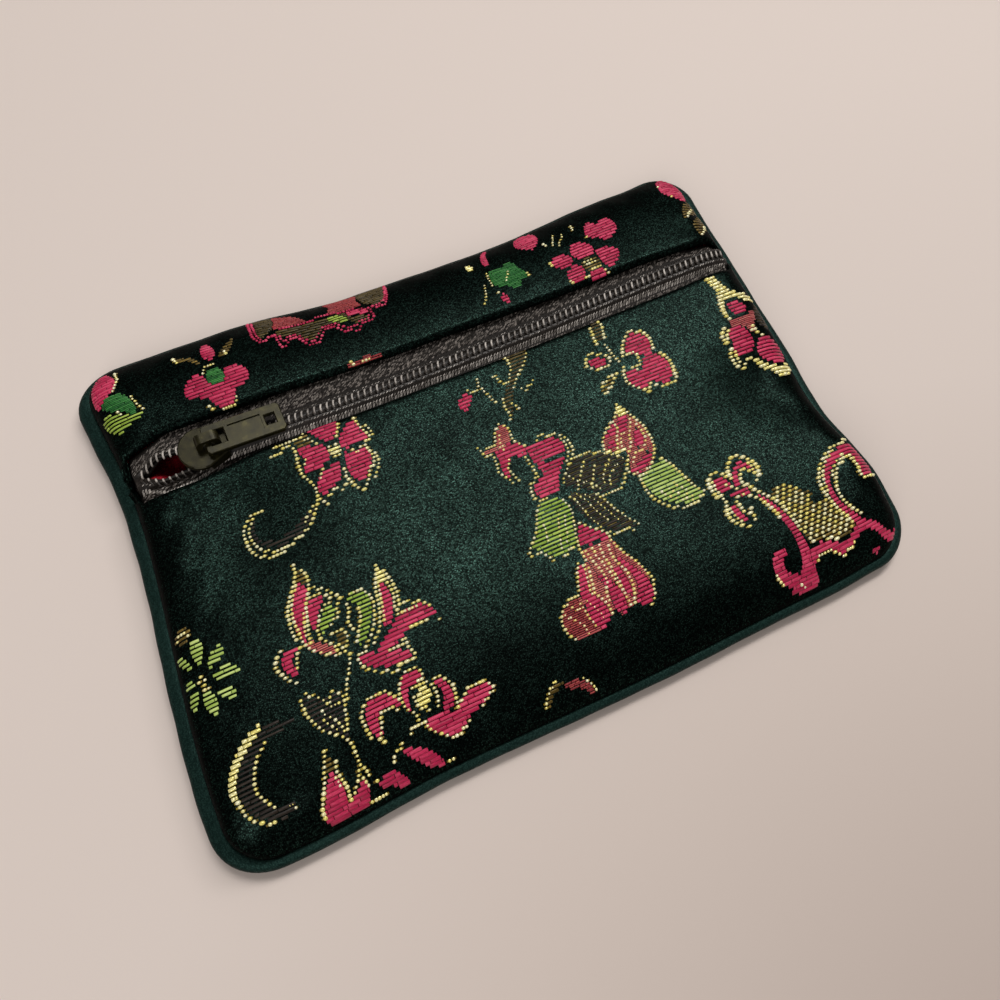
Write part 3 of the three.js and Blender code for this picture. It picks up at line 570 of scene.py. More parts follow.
FIGURE_FILLS = (
    Fill("rose", ((-1.9, 1), (-1, 1.2), (0.6, 1.1), (1.2, 2.2), (1.8, 3.4), (2.8, 4), (3.6, 3.7),
        (3.7, 2.6), (3.3, 1.4), (3.4, 0.6), (1.4, 0.2), (-0.4, 0.3), (-1.5, 0.4))),
    Fill("pink", ((0.2, 0.2), (3.5, 0.5), (4.4, -0.4), (5, -1), (4.9, -2), (3.8, -2.3), (2.6, -2),
        (1.6, -2.2), (1, -3), (0.7, -4.2), (0.4, -5), (-0.2, -4.6), (-0.3, -3), (0, -1.6))),
    Fill("pink", ((5, -1.2), (7, -0.9), (9, -1), (10.3, -1.6), (11, -2.8), (10.8, -4), (10.4, -4.6),
        (7.5, -4.7), (5.2, -4.7), (5, -3.5), (4.9, -2.2))),
    Fill("pink", ((5.3, -5.1), (8, -5.1), (10.2, -5), (9.5, -6), (8.6, -7), (7.6, -8.2), (7.2, -9.3),
        (6.5, -10.2), (4.5, -10.3), (3.2, -10), (2.9, -8.8), (3.6, -7.6), (5, -7.2), (5.6, -6.3))),
    Fill("dark", ((8, -9), (9, -7.8), (10.5, -6.8), (12.3, -6.3), (14, -6.5), (15.8, -7), (17.3, -8),
        (18.8, -9), (19, -10), (18.2, -11), (17, -12.3), (16, -13.2), (14.5, -13.8), (12.5, -13.3),
        (11, -12.2), (9.6, -11), (8, -10.2))),
    Fill("dark", ((8.2, -11.3), (9.5, -12), (11, -12.8), (12.2, -13.8), (12.9, -15.3), (13.6, -17),
        (14.3, -18.6), (15.2, -20.2), (15, -20.9), (13.5, -20.6), (11.5, -20), (10.2, -19), (9, -17.5),
        (8.2, -15.8), (7.6, -14), (7.5, -12.3))),
    Fill("green", ((2.6, -11.4), (5, -11), (6.6, -12), (6.8, -13.5), (6.6, -15), (6, -16.3), (5.6, -17.6),
        (5.3, -19), (4.6, -20), (3.2, -20.2), (1.5, -20.2), (0.3, -19.5), (-0.6, -18.2), (-1.8, -17.6),
        (-0.8, -16.5), (0.2, -15.4), (0.9, -14), (1.6, -12.6))),
    Fill("pink", ((6.9, -16.8), (7.6, -17.3), (8.6, -18.5), (9.8, -19.5), (10.2, -20.3), (10, -21),
        (8.5, -20.5), (7, -20.6), (5.4, -20.3), (5.7, -19), (6.2, -17.8))),
    Fill("rose", ((5.2, -21), (10.2, -21), (11, -23.4), (12.4, -26), (13, -29.4), (12.4, -32),
        (11, -32.8), (9.2, -31.8), (8.2, -32), (6.6, -32.6), (5.4, -31.6), (4, -33), (0.5, -33.2),
        (-1.6, -33.1), (-2.5, -31), (-2, -28.8), (0, -27.7), (1.8, -27), (3, -23.8), (5, -23))),
    Fill("russet", ((-2.6, -30.5), (-2, -28.8), (-0.8, -27.8), (0.8, -27.6), (1.5, -28.6), (1.8, -30),
        (2.4, -31.3), (2.2, -32.6), (0.5, -33), (-1.3, -32.9), (-2.4, -32))),
    Fill("pink", ((3.4, -23.3), (4.4, -23.2), (4.2, -24.6), (3.7, -26.5), (3.3, -28.2), (2.2, -28.3),
        (1.8, -27.5), (2.3, -26), (2.8, -24.6))),
    Fill("pink", ((2.2, -28.6), (3.6, -28.2), (4.4, -29.3), (4.8, -30.7), (4.7, -32), (3.8, -33),
        (2.3, -33), (1.7, -31.8), (1.6, -30))),
    Fill("rose", ((5.4, -20.8), (7.2, -21), (9.8, -21), (10.2, -22.3), (9.8, -24), (9, -25.6), (8.2, -27),
        (7.4, -28.4), (6.5, -27), (5.8, -25.4), (5.4, -23.2))),
    Fill("pink", ((5.5, -25.5), (6.6, -25.8), (7.4, -27.4), (7.9, -29), (8, -30.6), (7.6, -32.2),
        (6.8, -32.5), (6, -31.8), (5.9, -30), (6.2, -28.2))),
    Fill("pink", ((8.2, -26), (9.4, -25.7), (9.6, -27.2), (9.7, -29), (9.4, -30.4), (8.7, -30.2),
        (8.5, -28.5))),
    Fill("pink", ((9.6, -24.2), (10.4, -24.5), (11.2, -26), (12, -27.5), (12.6, -29), (12.7, -30.8),
        (12.3, -32), (11, -32.8), (9.8, -32.4), (9.4, -31.6), (10.4, -30.2), (10.8, -28.6),
        (10.4, -26.6))),
    Fill("rose", ((22.2, -0.5), (23.4, -2.6), (24.6, -5), (24.9, -7.6), (24.4, -10), (22.8, -12.2),
        (20.8, -12.9), (19, -12.4), (19, -11.2), (20, -9), (19, -7.8), (17, -7.2), (17.4, -5.2),
        (19.4, -3.4), (21.4, -2.2))),
    Fill("gold", ((22.4, 0), (23.1, -1.2), (23.3, -2.2), (22, -2.3), (21.7, -1.5))),
    Fill("pink", ((17.6, -5), (19, -3.9), (20.3, -3.3), (20.6, -4.2), (19.5, -5), (18, -5.4))),
    Fill("pink", ((17.5, -6.3), (18.8, -5.9), (19.4, -6.6), (18.6, -7.3), (17.6, -7.2))),
    Fill("pink", ((20.8, -3.2), (22.6, -2.4), (23.1, -3), (22.6, -4), (21.6, -5.2), (20.6, -5.2))),
    Fill("rose", ((20, -6.2), (21.4, -5.9), (21.7, -6.9), (20.8, -7.5), (19.9, -7))),
    Fill("pink", ((22.8, -6), (23.6, -5.4), (24, -6.8), (23.6, -8), (22.4, -8.7), (21.7, -8.4),
        (22.2, -7.2))),
    Fill("rose", ((20.6, -9), (22, -9.2), (23.6, -8.6), (23.4, -9.8), (21.8, -10.4), (20, -11.2),
        (19.2, -11.4))),
    Fill("pink", ((19, -12), (20.3, -11.4), (22, -10.6), (23.3, -10), (23.8, -10.6), (22.6, -11.8),
        (21, -12.6), (19.8, -12.6))),
    Fill("gold", ((16.8, -7.2), (18.4, -7.5), (20.2, -7.5), (20, -8.3), (18.4, -8.1), (17, -7.8))),
    # The feather leaf takes the lightened green yarn, a painted sheen
    Fill("sheen_green", ((20, -13.4), (21.5, -13), (23.2, -12.4), (24.6, -12), (25.5, -13), (26, -14.5),
        (26.5, -16), (26.7, -17.5), (27.2, -18.8), (28.2, -20.2), (27, -20.6), (25.5, -20.8), (24, -20.5),
        (22.5, -19.7), (21.2, -18.5), (20.4, -17), (20, -15.3))),
)
LOTUS_FILLS = (
    Fill("bronze", ((-36.6, -5.6), (-35.6, -6.6), (-35.6, -8.2), (-36.4, -8.2), (-37.2, -7.2))),
    Fill("pink", ((-36.4, -8.2), (-35.9, -9.6), (-36.6, -11.3), (-37.3, -13), (-38, -15), (-38.6, -16.8),
        (-39.4, -15.5), (-39.5, -13), (-39.1, -11.2), (-38.2, -9.3), (-37.3, -7.9))),
    Fill("pink", ((-36.5, -11.4), (-35, -10.7), (-34.2, -11), (-34.3, -12), (-35.2, -13), (-36, -14.3),
        (-36.6, -15.6), (-37, -16.2), (-37.2, -14.5), (-37, -12.8))),
    Fill("green", ((-35.3, -14.2), (-34, -13), (-33, -13.8), (-33.8, -15.2), (-35.2, -16.3), (-36, -16.8),
        (-36, -15.3))),
    Fill("bronze", ((-34.4, -18.4), (-34, -17.4), (-33.2, -17.4), (-32.8, -18.4), (-33.2, -19.4),
        (-34, -19.4))),
    Fill("green", ((-31, -13.2), (-30.2, -12.6), (-29, -12.8), (-27.9, -13.4), (-27.7, -14.6),
        (-27.9, -16), (-28.4, -17.2), (-29.2, -18.6), (-30.2, -20), (-31.3, -20.6), (-31.8, -20.3),
        (-31.3, -19), (-30.6, -17.6), (-30, -16.2), (-29.6, -15), (-30.3, -14.2))),
    Fill("rose", ((-39, -17.2), (-38, -17), (-36.9, -17.7), (-35.8, -18.6), (-34.9, -19.6),
        (-35.4, -20.2), (-36.6, -19.7), (-37.8, -18.9), (-38.6, -18))),
    Fill("pink", ((-40, -17.1), (-41.3, -16.9), (-42.3, -17.3), (-42.9, -18.3), (-42.8, -19.6),
        (-42, -20.7), (-41.2, -20.9), (-41, -20), (-41.4, -19), (-41, -18.1), (-40.2, -17.6))),
    Fill("gold", ((-25, -10.4), (-24.3, -11.7), (-24.5, -12.8), (-25.8, -12.8), (-26, -12.2))),
    Fill("pink", ((-25.1, -13), (-24.6, -14.5), (-24.6, -16), (-25, -17.2), (-25.5, -18.6),
        (-26.3, -19.6), (-27.3, -19.4), (-26.8, -17.5), (-26.3, -15.5), (-26, -13.8))),
    Fill("pink", ((-28, -21.3), (-26.3, -20), (-24.8, -18.8), (-23, -18.2), (-21, -18.5), (-19.8, -19.5),
        (-19.3, -20.8), (-20.8, -20.6), (-22.5, -20.9), (-24.3, -21.4), (-25.6, -22.3), (-27.5, -22.9),
        (-29.5, -22.6))),
    Fill("pink", ((-32.5, -22.3), (-31, -22), (-29.5, -22.8), (-27.3, -23.4), (-26, -24), (-25, -24.8),
        (-25.3, -25.3), (-27, -25.5), (-29, -25.3), (-30.5, -24.8), (-31.8, -23.8))),
    Fill("dark", ((-42, -24.3), (-41, -24.1), (-40, -24.8), (-39, -25.3), (-37.5, -25.5), (-36.5, -26),
        (-36.3, -27), (-36.7, -28.3), (-37, -29.7), (-37.3, -30.7), (-37.5, -32), (-37.8, -32.8),
        (-38.2, -32), (-38.8, -31), (-39.7, -30.8), (-40.7, -29.8), (-41.5, -28.3), (-42, -26.3))),
    Fill("bronze", ((-41.5, -33), (-40.6, -34.5), (-41, -35.6), (-42.3, -35.3))),
    Fill("pink", ((-41.6, -35.4), (-41, -36.5), (-40.8, -38), (-41, -39.5), (-41.3, -41.2),
        (-44.5, -41.2), (-44.6, -40), (-43.5, -38), (-42.6, -36.4))),
    Fill("pink", ((-38, -38), (-37.6, -39.2), (-38, -40.3), (-38.7, -41.3), (-41.2, -41.3),
        (-41.3, -40.2), (-40, -39.6), (-38.9, -38.8))),
    Fill("pink", ((-36.3, -39.6), (-35, -39), (-33.7, -39), (-32.8, -40), (-32.2, -41.2), (-33.5, -41.4),
        (-34.8, -40.6), (-36, -40.3))),
    Fill("pink", ((-31.6, -37.2), (-30, -37.5), (-28.3, -38.5), (-27.2, -39.8), (-26.6, -41.2),
        (-28.5, -41), (-29.8, -39.8), (-31, -38.4))),
    Fill("pink", ((-34.6, -32.8), (-34.6, -31), (-34, -29.5), (-32.8, -28.6), (-31.3, -28.6),
        (-30.2, -29.5), (-29.3, -30.6), (-29.3, -31.3), (-30, -31.2), (-31, -30.6), (-32, -30.6),
        (-32.8, -31.4), (-33.2, -32.8), (-33, -33.8), (-33.6, -34.3), (-34.2, -33.8))),
    Fill("pink", ((-28.6, -29), (-28, -28), (-26.8, -27.3), (-25.6, -27.4), (-25, -28.6), (-26, -29.2),
        (-27.3, -29.6), (-28, -31), (-28.2, -32.4), (-28.7, -33), (-28.8, -31))),
    Fill("gold", ((-27, -31.5), (-26.2, -30.4), (-25, -30.4), (-24.6, -31.4), (-25, -32.3),
        (-26.3, -32.8), (-27, -32.4))),
    Fill("pink", ((-23.8, -30.4), (-22.7, -30.2), (-22, -31.4), (-21.8, -32.8), (-22.1, -34),
        (-22.8, -34.8), (-24, -34.4), (-23.4, -33), (-23.2, -31.8))),
    Fill("pink", ((-27.2, -35.3), (-26.8, -36.3), (-25.5, -37.5), (-24, -38.3), (-22.3, -37.9),
        (-20.8, -36.9), (-18.5, -36), (-16.6, -34.8), (-16.1, -34), (-17.5, -33.5), (-19.5, -33.6),
        (-21.3, -34.5), (-22.6, -35.4), (-24, -34.6), (-25.7, -34.8))),
    Fill("bronze", ((-9.6, -40), (-8.6, -38.2), (-6.4, -37.5), (-6.2, -38.3), (-8, -38.9), (-9, -40.2))),
    Fill("russet", ((-6, -38.2), (-4.2, -38.4), (-2.6, -39.4), (-1.9, -40.8), (-2.6, -41), (-3.2, -40.2),
        (-4.6, -39.4), (-6, -39))),
    Fill("dark", ((-48.6, -26), (-50.5, -27), (-52, -28.2), (-53.2, -30), (-53.9, -32), (-53.8, -34),
        (-53.3, -35.8), (-52, -37.2), (-50.2, -38), (-48.4, -37.9), (-47.4, -36.9), (-48.2, -36.4),
        (-49.6, -36.4), (-50.8, -35.3), (-51.5, -33.6), (-51.3, -31.5), (-50.4, -29.8), (-49, -28.4),
        (-47.6, -27.7), (-46, -27.3), (-44.5, -27), (-43.5, -26.6), (-45.5, -25.9), (-47, -25.7))),
)
CRESCENT_FILLS = (
    Fill("gold", ((-48.4, -25.1), (-50.3, -25.9), (-52, -27.1), (-53.5, -28.8), (-54.6, -30.6),
        (-55.1, -32.2), (-54.9, -33.3), (-54.1, -33.2), (-53.9, -32), (-53.3, -30.7), (-52.3, -29.2),
        (-51.1, -28), (-49.8, -27), (-48.4, -26))),
)
# The daisy takes the lightened green yarn, a painted sheen
DAISY_FILLS = (
    Fill("sheen_green", ((-54.5, -9.9), (-53.4, -9.7), (-52.8, -10.8), (-53, -12), (-53.8, -13.7),
        (-54.5, -12.8), (-54.8, -11.2))),
    Fill("sheen_green", ((-52.8, -14.1), (-51.8, -12.4), (-50.3, -12), (-50.1, -13.3), (-51.3, -14.3),
        (-52.6, -14.7))),
    Fill("sheen_green", ((-52.4, -15.8), (-50.1, -15.1), (-48.6, -16.4), (-49, -17.2), (-50.9, -17.2),
        (-52.2, -16.6))),
    Fill("sheen_green", ((-52.4, -18.3), (-51.1, -18), (-49.9, -19.1), (-50.3, -20.3), (-51.3, -19.9),
        (-52.4, -18.9))),
    Fill("sheen_green", ((-54.5, -17.8), (-53.2, -18), (-52.7, -19.7), (-53.2, -21.4), (-54, -21),
        (-54.7, -19.5))),
    Fill("sheen_green", ((-56.3, -17), (-55.1, -16.8), (-55.3, -18.3), (-56.1, -19.5), (-56.8, -18.7))),
    Fill("sheen_green", ((-56.5, -15.1), (-55.3, -15.5), (-55.5, -16.4), (-56.8, -16.4))),
    Fill("sheen_green", ((-57, -10.8), (-56.1, -11.4), (-55.2, -13), (-55.1, -14.1), (-56.3, -13),
        (-57.2, -11.8))),
    Fill("bronze", ((-57, -8.6), (-56.2, -7.4), (-54.8, -7.2), (-54, -8.2), (-54.6, -9.3),
        (-56.2, -9.4))),
)
BASKET_FILLS = (
    Fill("pink", ((30.1, -20.7), (30.4, -19.3), (31.2, -18.9), (32, -19), (32.6, -19.8), (32.9, -21),
        (32.2, -21.8), (31, -21.6))),
    Fill("pink", ((33.2, -21.6), (33.7, -19.9), (34.7, -18.6), (36.2, -17.8), (37.5, -18.4), (38, -19.8),
        (37.4, -19.9), (36.4, -18.9), (35.2, -19.2), (34.5, -20.4), (34.1, -21.6))),
    Fill("pink", ((31.5, -22), (33, -22.1), (34.4, -22.2), (35.3, -23), (34.4, -23.3), (33, -23.2),
        (31.8, -22.9))),
    Fill("pink", ((30.4, -24.6), (31.2, -24.2), (31.6, -25), (31.7, -26.2), (32.2, -27), (31.6, -27.4),
        (30.8, -26.6))),
    Fill("pink", ((35.6, -24), (36.4, -25), (37.4, -27), (38.2, -29.4), (38.7, -32), (39, -35),
        (39.2, -38.6), (39.6, -41), (37.8, -41.3), (36, -41.3), (34.2, -40.6), (35.6, -39.4),
        (36.9, -37.8), (37.4, -35), (37.4, -32), (36.9, -29.4), (36.2, -27))),
    Fill("bronze", ((37.6, -25.4), (38.8, -24.1), (40.3, -24.3), (41.8, -25.2), (42.9, -26.8),
        (44.2, -27.5), (43, -28.8), (44.4, -29.6), (45.9, -29.3), (46.4, -31.3), (47.4, -33.2),
        (48.6, -35.2), (46.8, -36.4), (44.6, -36.4), (43, -35.6), (41, -35.2), (39.4, -35), (39.2, -32),
        (38.8, -29), (38.3, -27))),
    Fill("pink", ((56.4, -22.4), (54.5, -22.4), (52.4, -22.6), (50.6, -23.2), (49, -24.1), (47.6, -25.5),
        (46.8, -27.2), (46.4, -29.2), (46.6, -31.2), (47.2, -33), (48, -35.6), (49.8, -35.6),
        (48.2, -32.6), (47.5, -30.8), (47.4, -28.8), (47.8, -27.2), (48.8, -25.8), (50.2, -24.8),
        (52, -24.2), (53.6, -24.1), (54.2, -25.4), (53.9, -27), (53.6, -28.6), (55.4, -28.8),
        (57, -27.2))),
    Fill("pink", ((39, -36.3), (40.2, -35.8), (41.8, -35.7), (43.2, -36.3), (44.6, -37), (46, -37.2),
        (47.4, -36.4), (48.8, -35.4), (50.2, -35.6), (51.8, -36.6), (53, -37.8), (54.2, -38.8),
        (55.5, -39.3), (56.4, -38.8), (55.8, -40.2), (54, -40.3), (52.6, -39.2), (51.4, -37.9),
        (50, -37.2), (48.6, -37.4), (47.2, -38), (45.8, -38.4), (44.6, -38.9), (43.6, -38), (42.4, -37.3),
        (41, -37.2), (39.8, -37.9), (39, -38.8))),
    Fill("pink", ((35.2, -34.4), (34, -34), (32.6, -34.7), (32, -36.4), (32.3, -38.2), (33.4, -39.4),
        (35, -40.3), (36.4, -39), (35.2, -38.3), (34.3, -37.6), (34, -36.6), (34.3, -35.6), (35.2, -35))),
    Fill("pink", ((50.3, -40.3), (51.6, -40.5), (52.5, -41), (51.2, -41.2))),
)
RIGHT_FILLS = (
    Fill("gold", ((49.4, 14.6), (49.8, 15.6), (50.5, 16.2), (51.2, 15), (51.4, 13.6), (51.9, 12.3),
        (50.5, 12.2), (49.8, 13.2))),
    Fill("gold", ((50, 12), (52, 12.3), (53, 11.6), (54.5, 11), (56, 10.5), (56.5, 9.5), (54.5, 9.3),
        (53.3, 10.3), (51.8, 10.8), (50.3, 10.6), (49.6, 9.2), (49.4, 7.6), (48.7, 8), (48.8, 9.6),
        (49.3, 11))),
    Fill("pink", ((50.3, 10.2), (51.6, 10.3), (52.9, 9.6), (53.6, 8.4), (52.6, 7.4), (51.2, 7.3),
        (50.4, 8.3))),
    Fill("rose", ((49, 6.5), (50.6, 6.7), (52.6, 6.8), (54, 7.4), (55, 7.5), (54.6, 6), (53.4, 5),
        (53, 4), (52, 3.3), (51.4, 4.6), (50.2, 5.4), (49, 5.6))),
    Fill("dark", ((54.2, 5.6), (55.4, 8), (56.8, 9), (57, 5), (56, 3.7), (54.5, 4.4))),
    Fill("pink", ((47.5, 4.5), (48.6, 5.4), (50.4, 5.3), (51.4, 3.8), (51.6, 2), (50.7, 0.6), (49, 0),
        (47.6, 0.1), (46.9, 1.4), (47.6, 2.9))),
    Fill("pink", ((51.8, 1), (53, 2.2), (54.6, 2.2), (56, 1.3), (57, 0), (57, -2), (55.6, -3), (54, -3),
        (52.4, -2.2), (51.5, -1.2), (51.3, 0))),
    Fill("gold", ((50, -0.8), (50.4, -2.4), (51.2, -3.6), (52.6, -3.9), (53.2, -5.4), (54.8, -5.8),
        (56, -5.3), (57, -4.6), (56.8, -3.2), (55, -3.6), (53.4, -3.3), (51.8, -2.4), (50.8, -1.2))),
)
STRIP_FILLS = (
    Fill("pink", ((-57.2, 35.5), (-56.8, 38), (-55.6, 40.2), (-54, 41), (-52.8, 39.5), (-52.4, 38),
        (-53, 36.5), (-54.3, 35.2), (-56, 34), (-57, 34))),
    Fill("emerald", ((-55, 34.8), (-53, 35), (-51.8, 34.2), (-51.3, 33), (-51, 31.8), (-51, 30.2),
        (-52.2, 30), (-53.2, 31.2), (-54.6, 31.7), (-55.6, 32.6), (-56.2, 33.6))),
    Fill("green", ((-57, 31), (-56, 31.5), (-54.6, 31.2), (-53.2, 30.5), (-51.4, 29.6), (-50, 29.8),
        (-51, 28.6), (-53, 28), (-55, 27.3), (-56.3, 28.2), (-57, 29.5))),
    Fill("pink", ((-42.9, 30), (-42.2, 31.5), (-41, 32.5), (-39.7, 32.8), (-38.8, 32), (-38.4, 30.5),
        (-37.2, 29.9), (-35.8, 30.5), (-35.4, 31.8), (-34.8, 32.5), (-33.4, 32.3), (-32.3, 31.5),
        (-31.7, 30.4), (-32, 28.8), (-33.2, 28), (-34.6, 27.7), (-35.3, 26.5), (-36, 25.4), (-37.2, 25),
        (-38.3, 25.2), (-39.2, 26.3), (-39.8, 27.8), (-41.5, 28.2), (-42.7, 28.8))),
    Fill("emerald", ((-38.6, 31.2), (-38, 32.8), (-37, 33.2), (-35.9, 32.6), (-35.5, 31), (-36, 30),
        (-37.2, 29.7), (-38.3, 30.2))),
    Fill("pink", ((-37.8, 36.8), (-37.5, 38.4), (-36.8, 39.2), (-35.9, 38.6), (-35.4, 37), (-35.7, 35.6),
        (-36.6, 35.1), (-37.5, 35.6))),
    Fill("bronze", ((-42.8, 38.6), (-41, 37.8), (-39.4, 37), (-38.3, 35), (-39.2, 35.2), (-40.4, 36.6),
        (-42, 36.9))),
    Fill("bronze", ((-35.2, 35.2), (-34.4, 36.5), (-33.3, 37.6), (-31.8, 38.4), (-32, 37.4), (-32.9, 36),
        (-34, 35))),
    Fill("olive", ((-27.4, 42), (-24.6, 42), (-24.2, 39), (-25, 37.6), (-26.2, 36.8), (-27.4, 36.2),
        (-27.8, 38), (-27.5, 40))),
    Fill("olive", ((-24.6, 36.6), (-21.5, 36.9), (-18.6, 36.9), (-15.5, 37), (-13, 36.8), (-11.8, 36),
        (-11.6, 34.6), (-13, 34.2), (-15.2, 34.8), (-16.6, 34.6), (-17.6, 33.4), (-18.6, 32.6),
        (-20, 32.6), (-21.2, 33.6), (-22.4, 34.8), (-24.2, 35))),
    Fill("olive", ((-8.6, 41.8), (-8.8, 38.4), (-7.6, 36.6), (-5.8, 36.2), (-4.6, 37), (-4.2, 39),
        (-3.8, 41.8))),
    Fill("olive", ((-11.6, 35.2), (-9.4, 34.6), (-8.8, 33.4), (-10.6, 33.2), (-12, 33.6))),
    Fill("green", ((-15.4, 36.6), (-13.4, 36.4), (-12.3, 35), (-12.9, 34.2), (-14.2, 34.8),
        (-15.4, 35.6))),
    Fill("russet", ((-24.2, 42), (-22.2, 40.8), (-20.2, 39.4), (-19, 37.4), (-20.4, 37.2), (-22.4, 37.6),
        (-24.4, 37.4), (-24.9, 38), (-24.3, 39.4))),
    Fill("russet", ((-14.8, 42), (-9.2, 42), (-9.4, 39), (-9, 37.4), (-10.4, 37.2), (-12.6, 37.2),
        (-14.6, 37.4), (-14.9, 38.4), (-14.4, 40))),
    Fill("pink", ((-12, 36.6), (-9.6, 36.4), (-8.4, 35.4), (-9, 34.9), (-10.6, 35.4), (-11.8, 35.4))),
    Fill("russet", ((-15.8, 25.1), (-15.7, 24.6), (-10.3, 24.6), (-10.2, 25.2), (-12.4, 25.5),
        (-14, 25.3))),
    Fill("gold", ((11, 36.6), (11.3, 38), (12, 37.8), (12.5, 36.8), (11.8, 36.3))),
    Fill("pink", ((14.3, 36.5), (14.4, 38), (15, 39.6), (16, 41), (16.9, 41), (16, 39.5), (15.6, 37.8),
        (15.2, 36.2))),
    Fill("emerald", ((13.8, 32.5), (14, 33.8), (15.2, 34.3), (16.5, 34.4), (18, 34.7), (19.2, 34.4),
        (19.4, 33), (19.8, 32), (20.3, 30.8), (19.8, 29.8), (18.8, 29.6), (18, 28.4), (16.8, 28.5),
        (15.9, 29.4), (14.4, 30), (13.6, 31.2))),
    Fill("pink", ((13.6, 27.2), (14, 28), (14.8, 28), (15, 26.8), (14.8, 26), (14, 26.2))),
    Fill("pink", ((21.5, 38.5), (22, 40), (23, 41), (25, 41), (26.2, 40), (26.2, 38.2), (25.4, 36.8),
        (24, 35.8), (22.8, 36.4), (21.8, 37.4))),
    Fill("pink", ((34, 33.4), (34.4, 35), (35.2, 36.3), (36.4, 36.5), (37.4, 35.6), (38.6, 36.4),
        (39.8, 36), (40.4, 34.4), (40.2, 32.8), (39.2, 31.8), (38, 31.2), (36.8, 31), (36, 32),
        (34.8, 32.6))),
    Fill("pink", ((25, 30.2), (25.6, 31.2), (27, 31.8), (28.6, 31.2), (29.2, 30), (28.6, 28.8),
        (27, 28.5), (25.8, 29))),
    Fill("pink", ((29.4, 30.5), (29.8, 32), (30.6, 33), (31.8, 33), (33, 32.2), (33.8, 31), (33.5, 29.5),
        (32, 28.9), (30.4, 29))),
    Fill("pink", ((33.8, 29.6), (35.4, 29.8), (37, 29), (37.8, 28), (37.2, 26.6), (36, 25.6),
        (34.6, 25.2), (33.8, 26.4), (33.7, 28))),
    Fill("pink", ((31, 25.8), (32.4, 26), (33.6, 25), (33.2, 24.2), (32, 23.9), (30.9, 24),
        (30.2, 24.6))),
    Fill("pink", ((26.4, 26), (26.8, 27.4), (28.4, 28.2), (29.8, 27.8), (30, 26.3), (29.2, 25),
        (27.8, 24.8), (26.8, 25))),
    Fill("bronze", ((30.2, 28.4), (32, 28.8), (33.4, 28), (33.4, 26.2), (32.2, 26), (31, 25.9),
        (30.2, 26.4))),
    Fill("pink", ((52.6, 38.8), (52.2, 37), (53.2, 35.5), (54.6, 34), (55.8, 33.7), (57, 35.2),
        (57, 37.5), (55.8, 39.8), (54.4, 40.8), (53, 40))),
    Fill("bronze", ((53, 30.5), (54.5, 32.5), (56, 33.4), (57, 33.8), (57, 31), (55.5, 30), (53.6, 29.4),
        (52.6, 29))),
    Fill("bronze", ((53.5, 27.5), (55, 28.8), (57, 30), (57, 28), (55.5, 26), (53.9, 24.6),
        (53.4, 25.5))),
)
FILLS = FLOWER_FILLS + FIGURE_FILLS + LOTUS_FILLS + CRESCENT_FILLS
FILLS += DAISY_FILLS + BASKET_FILLS + RIGHT_FILLS + STRIP_FILLS

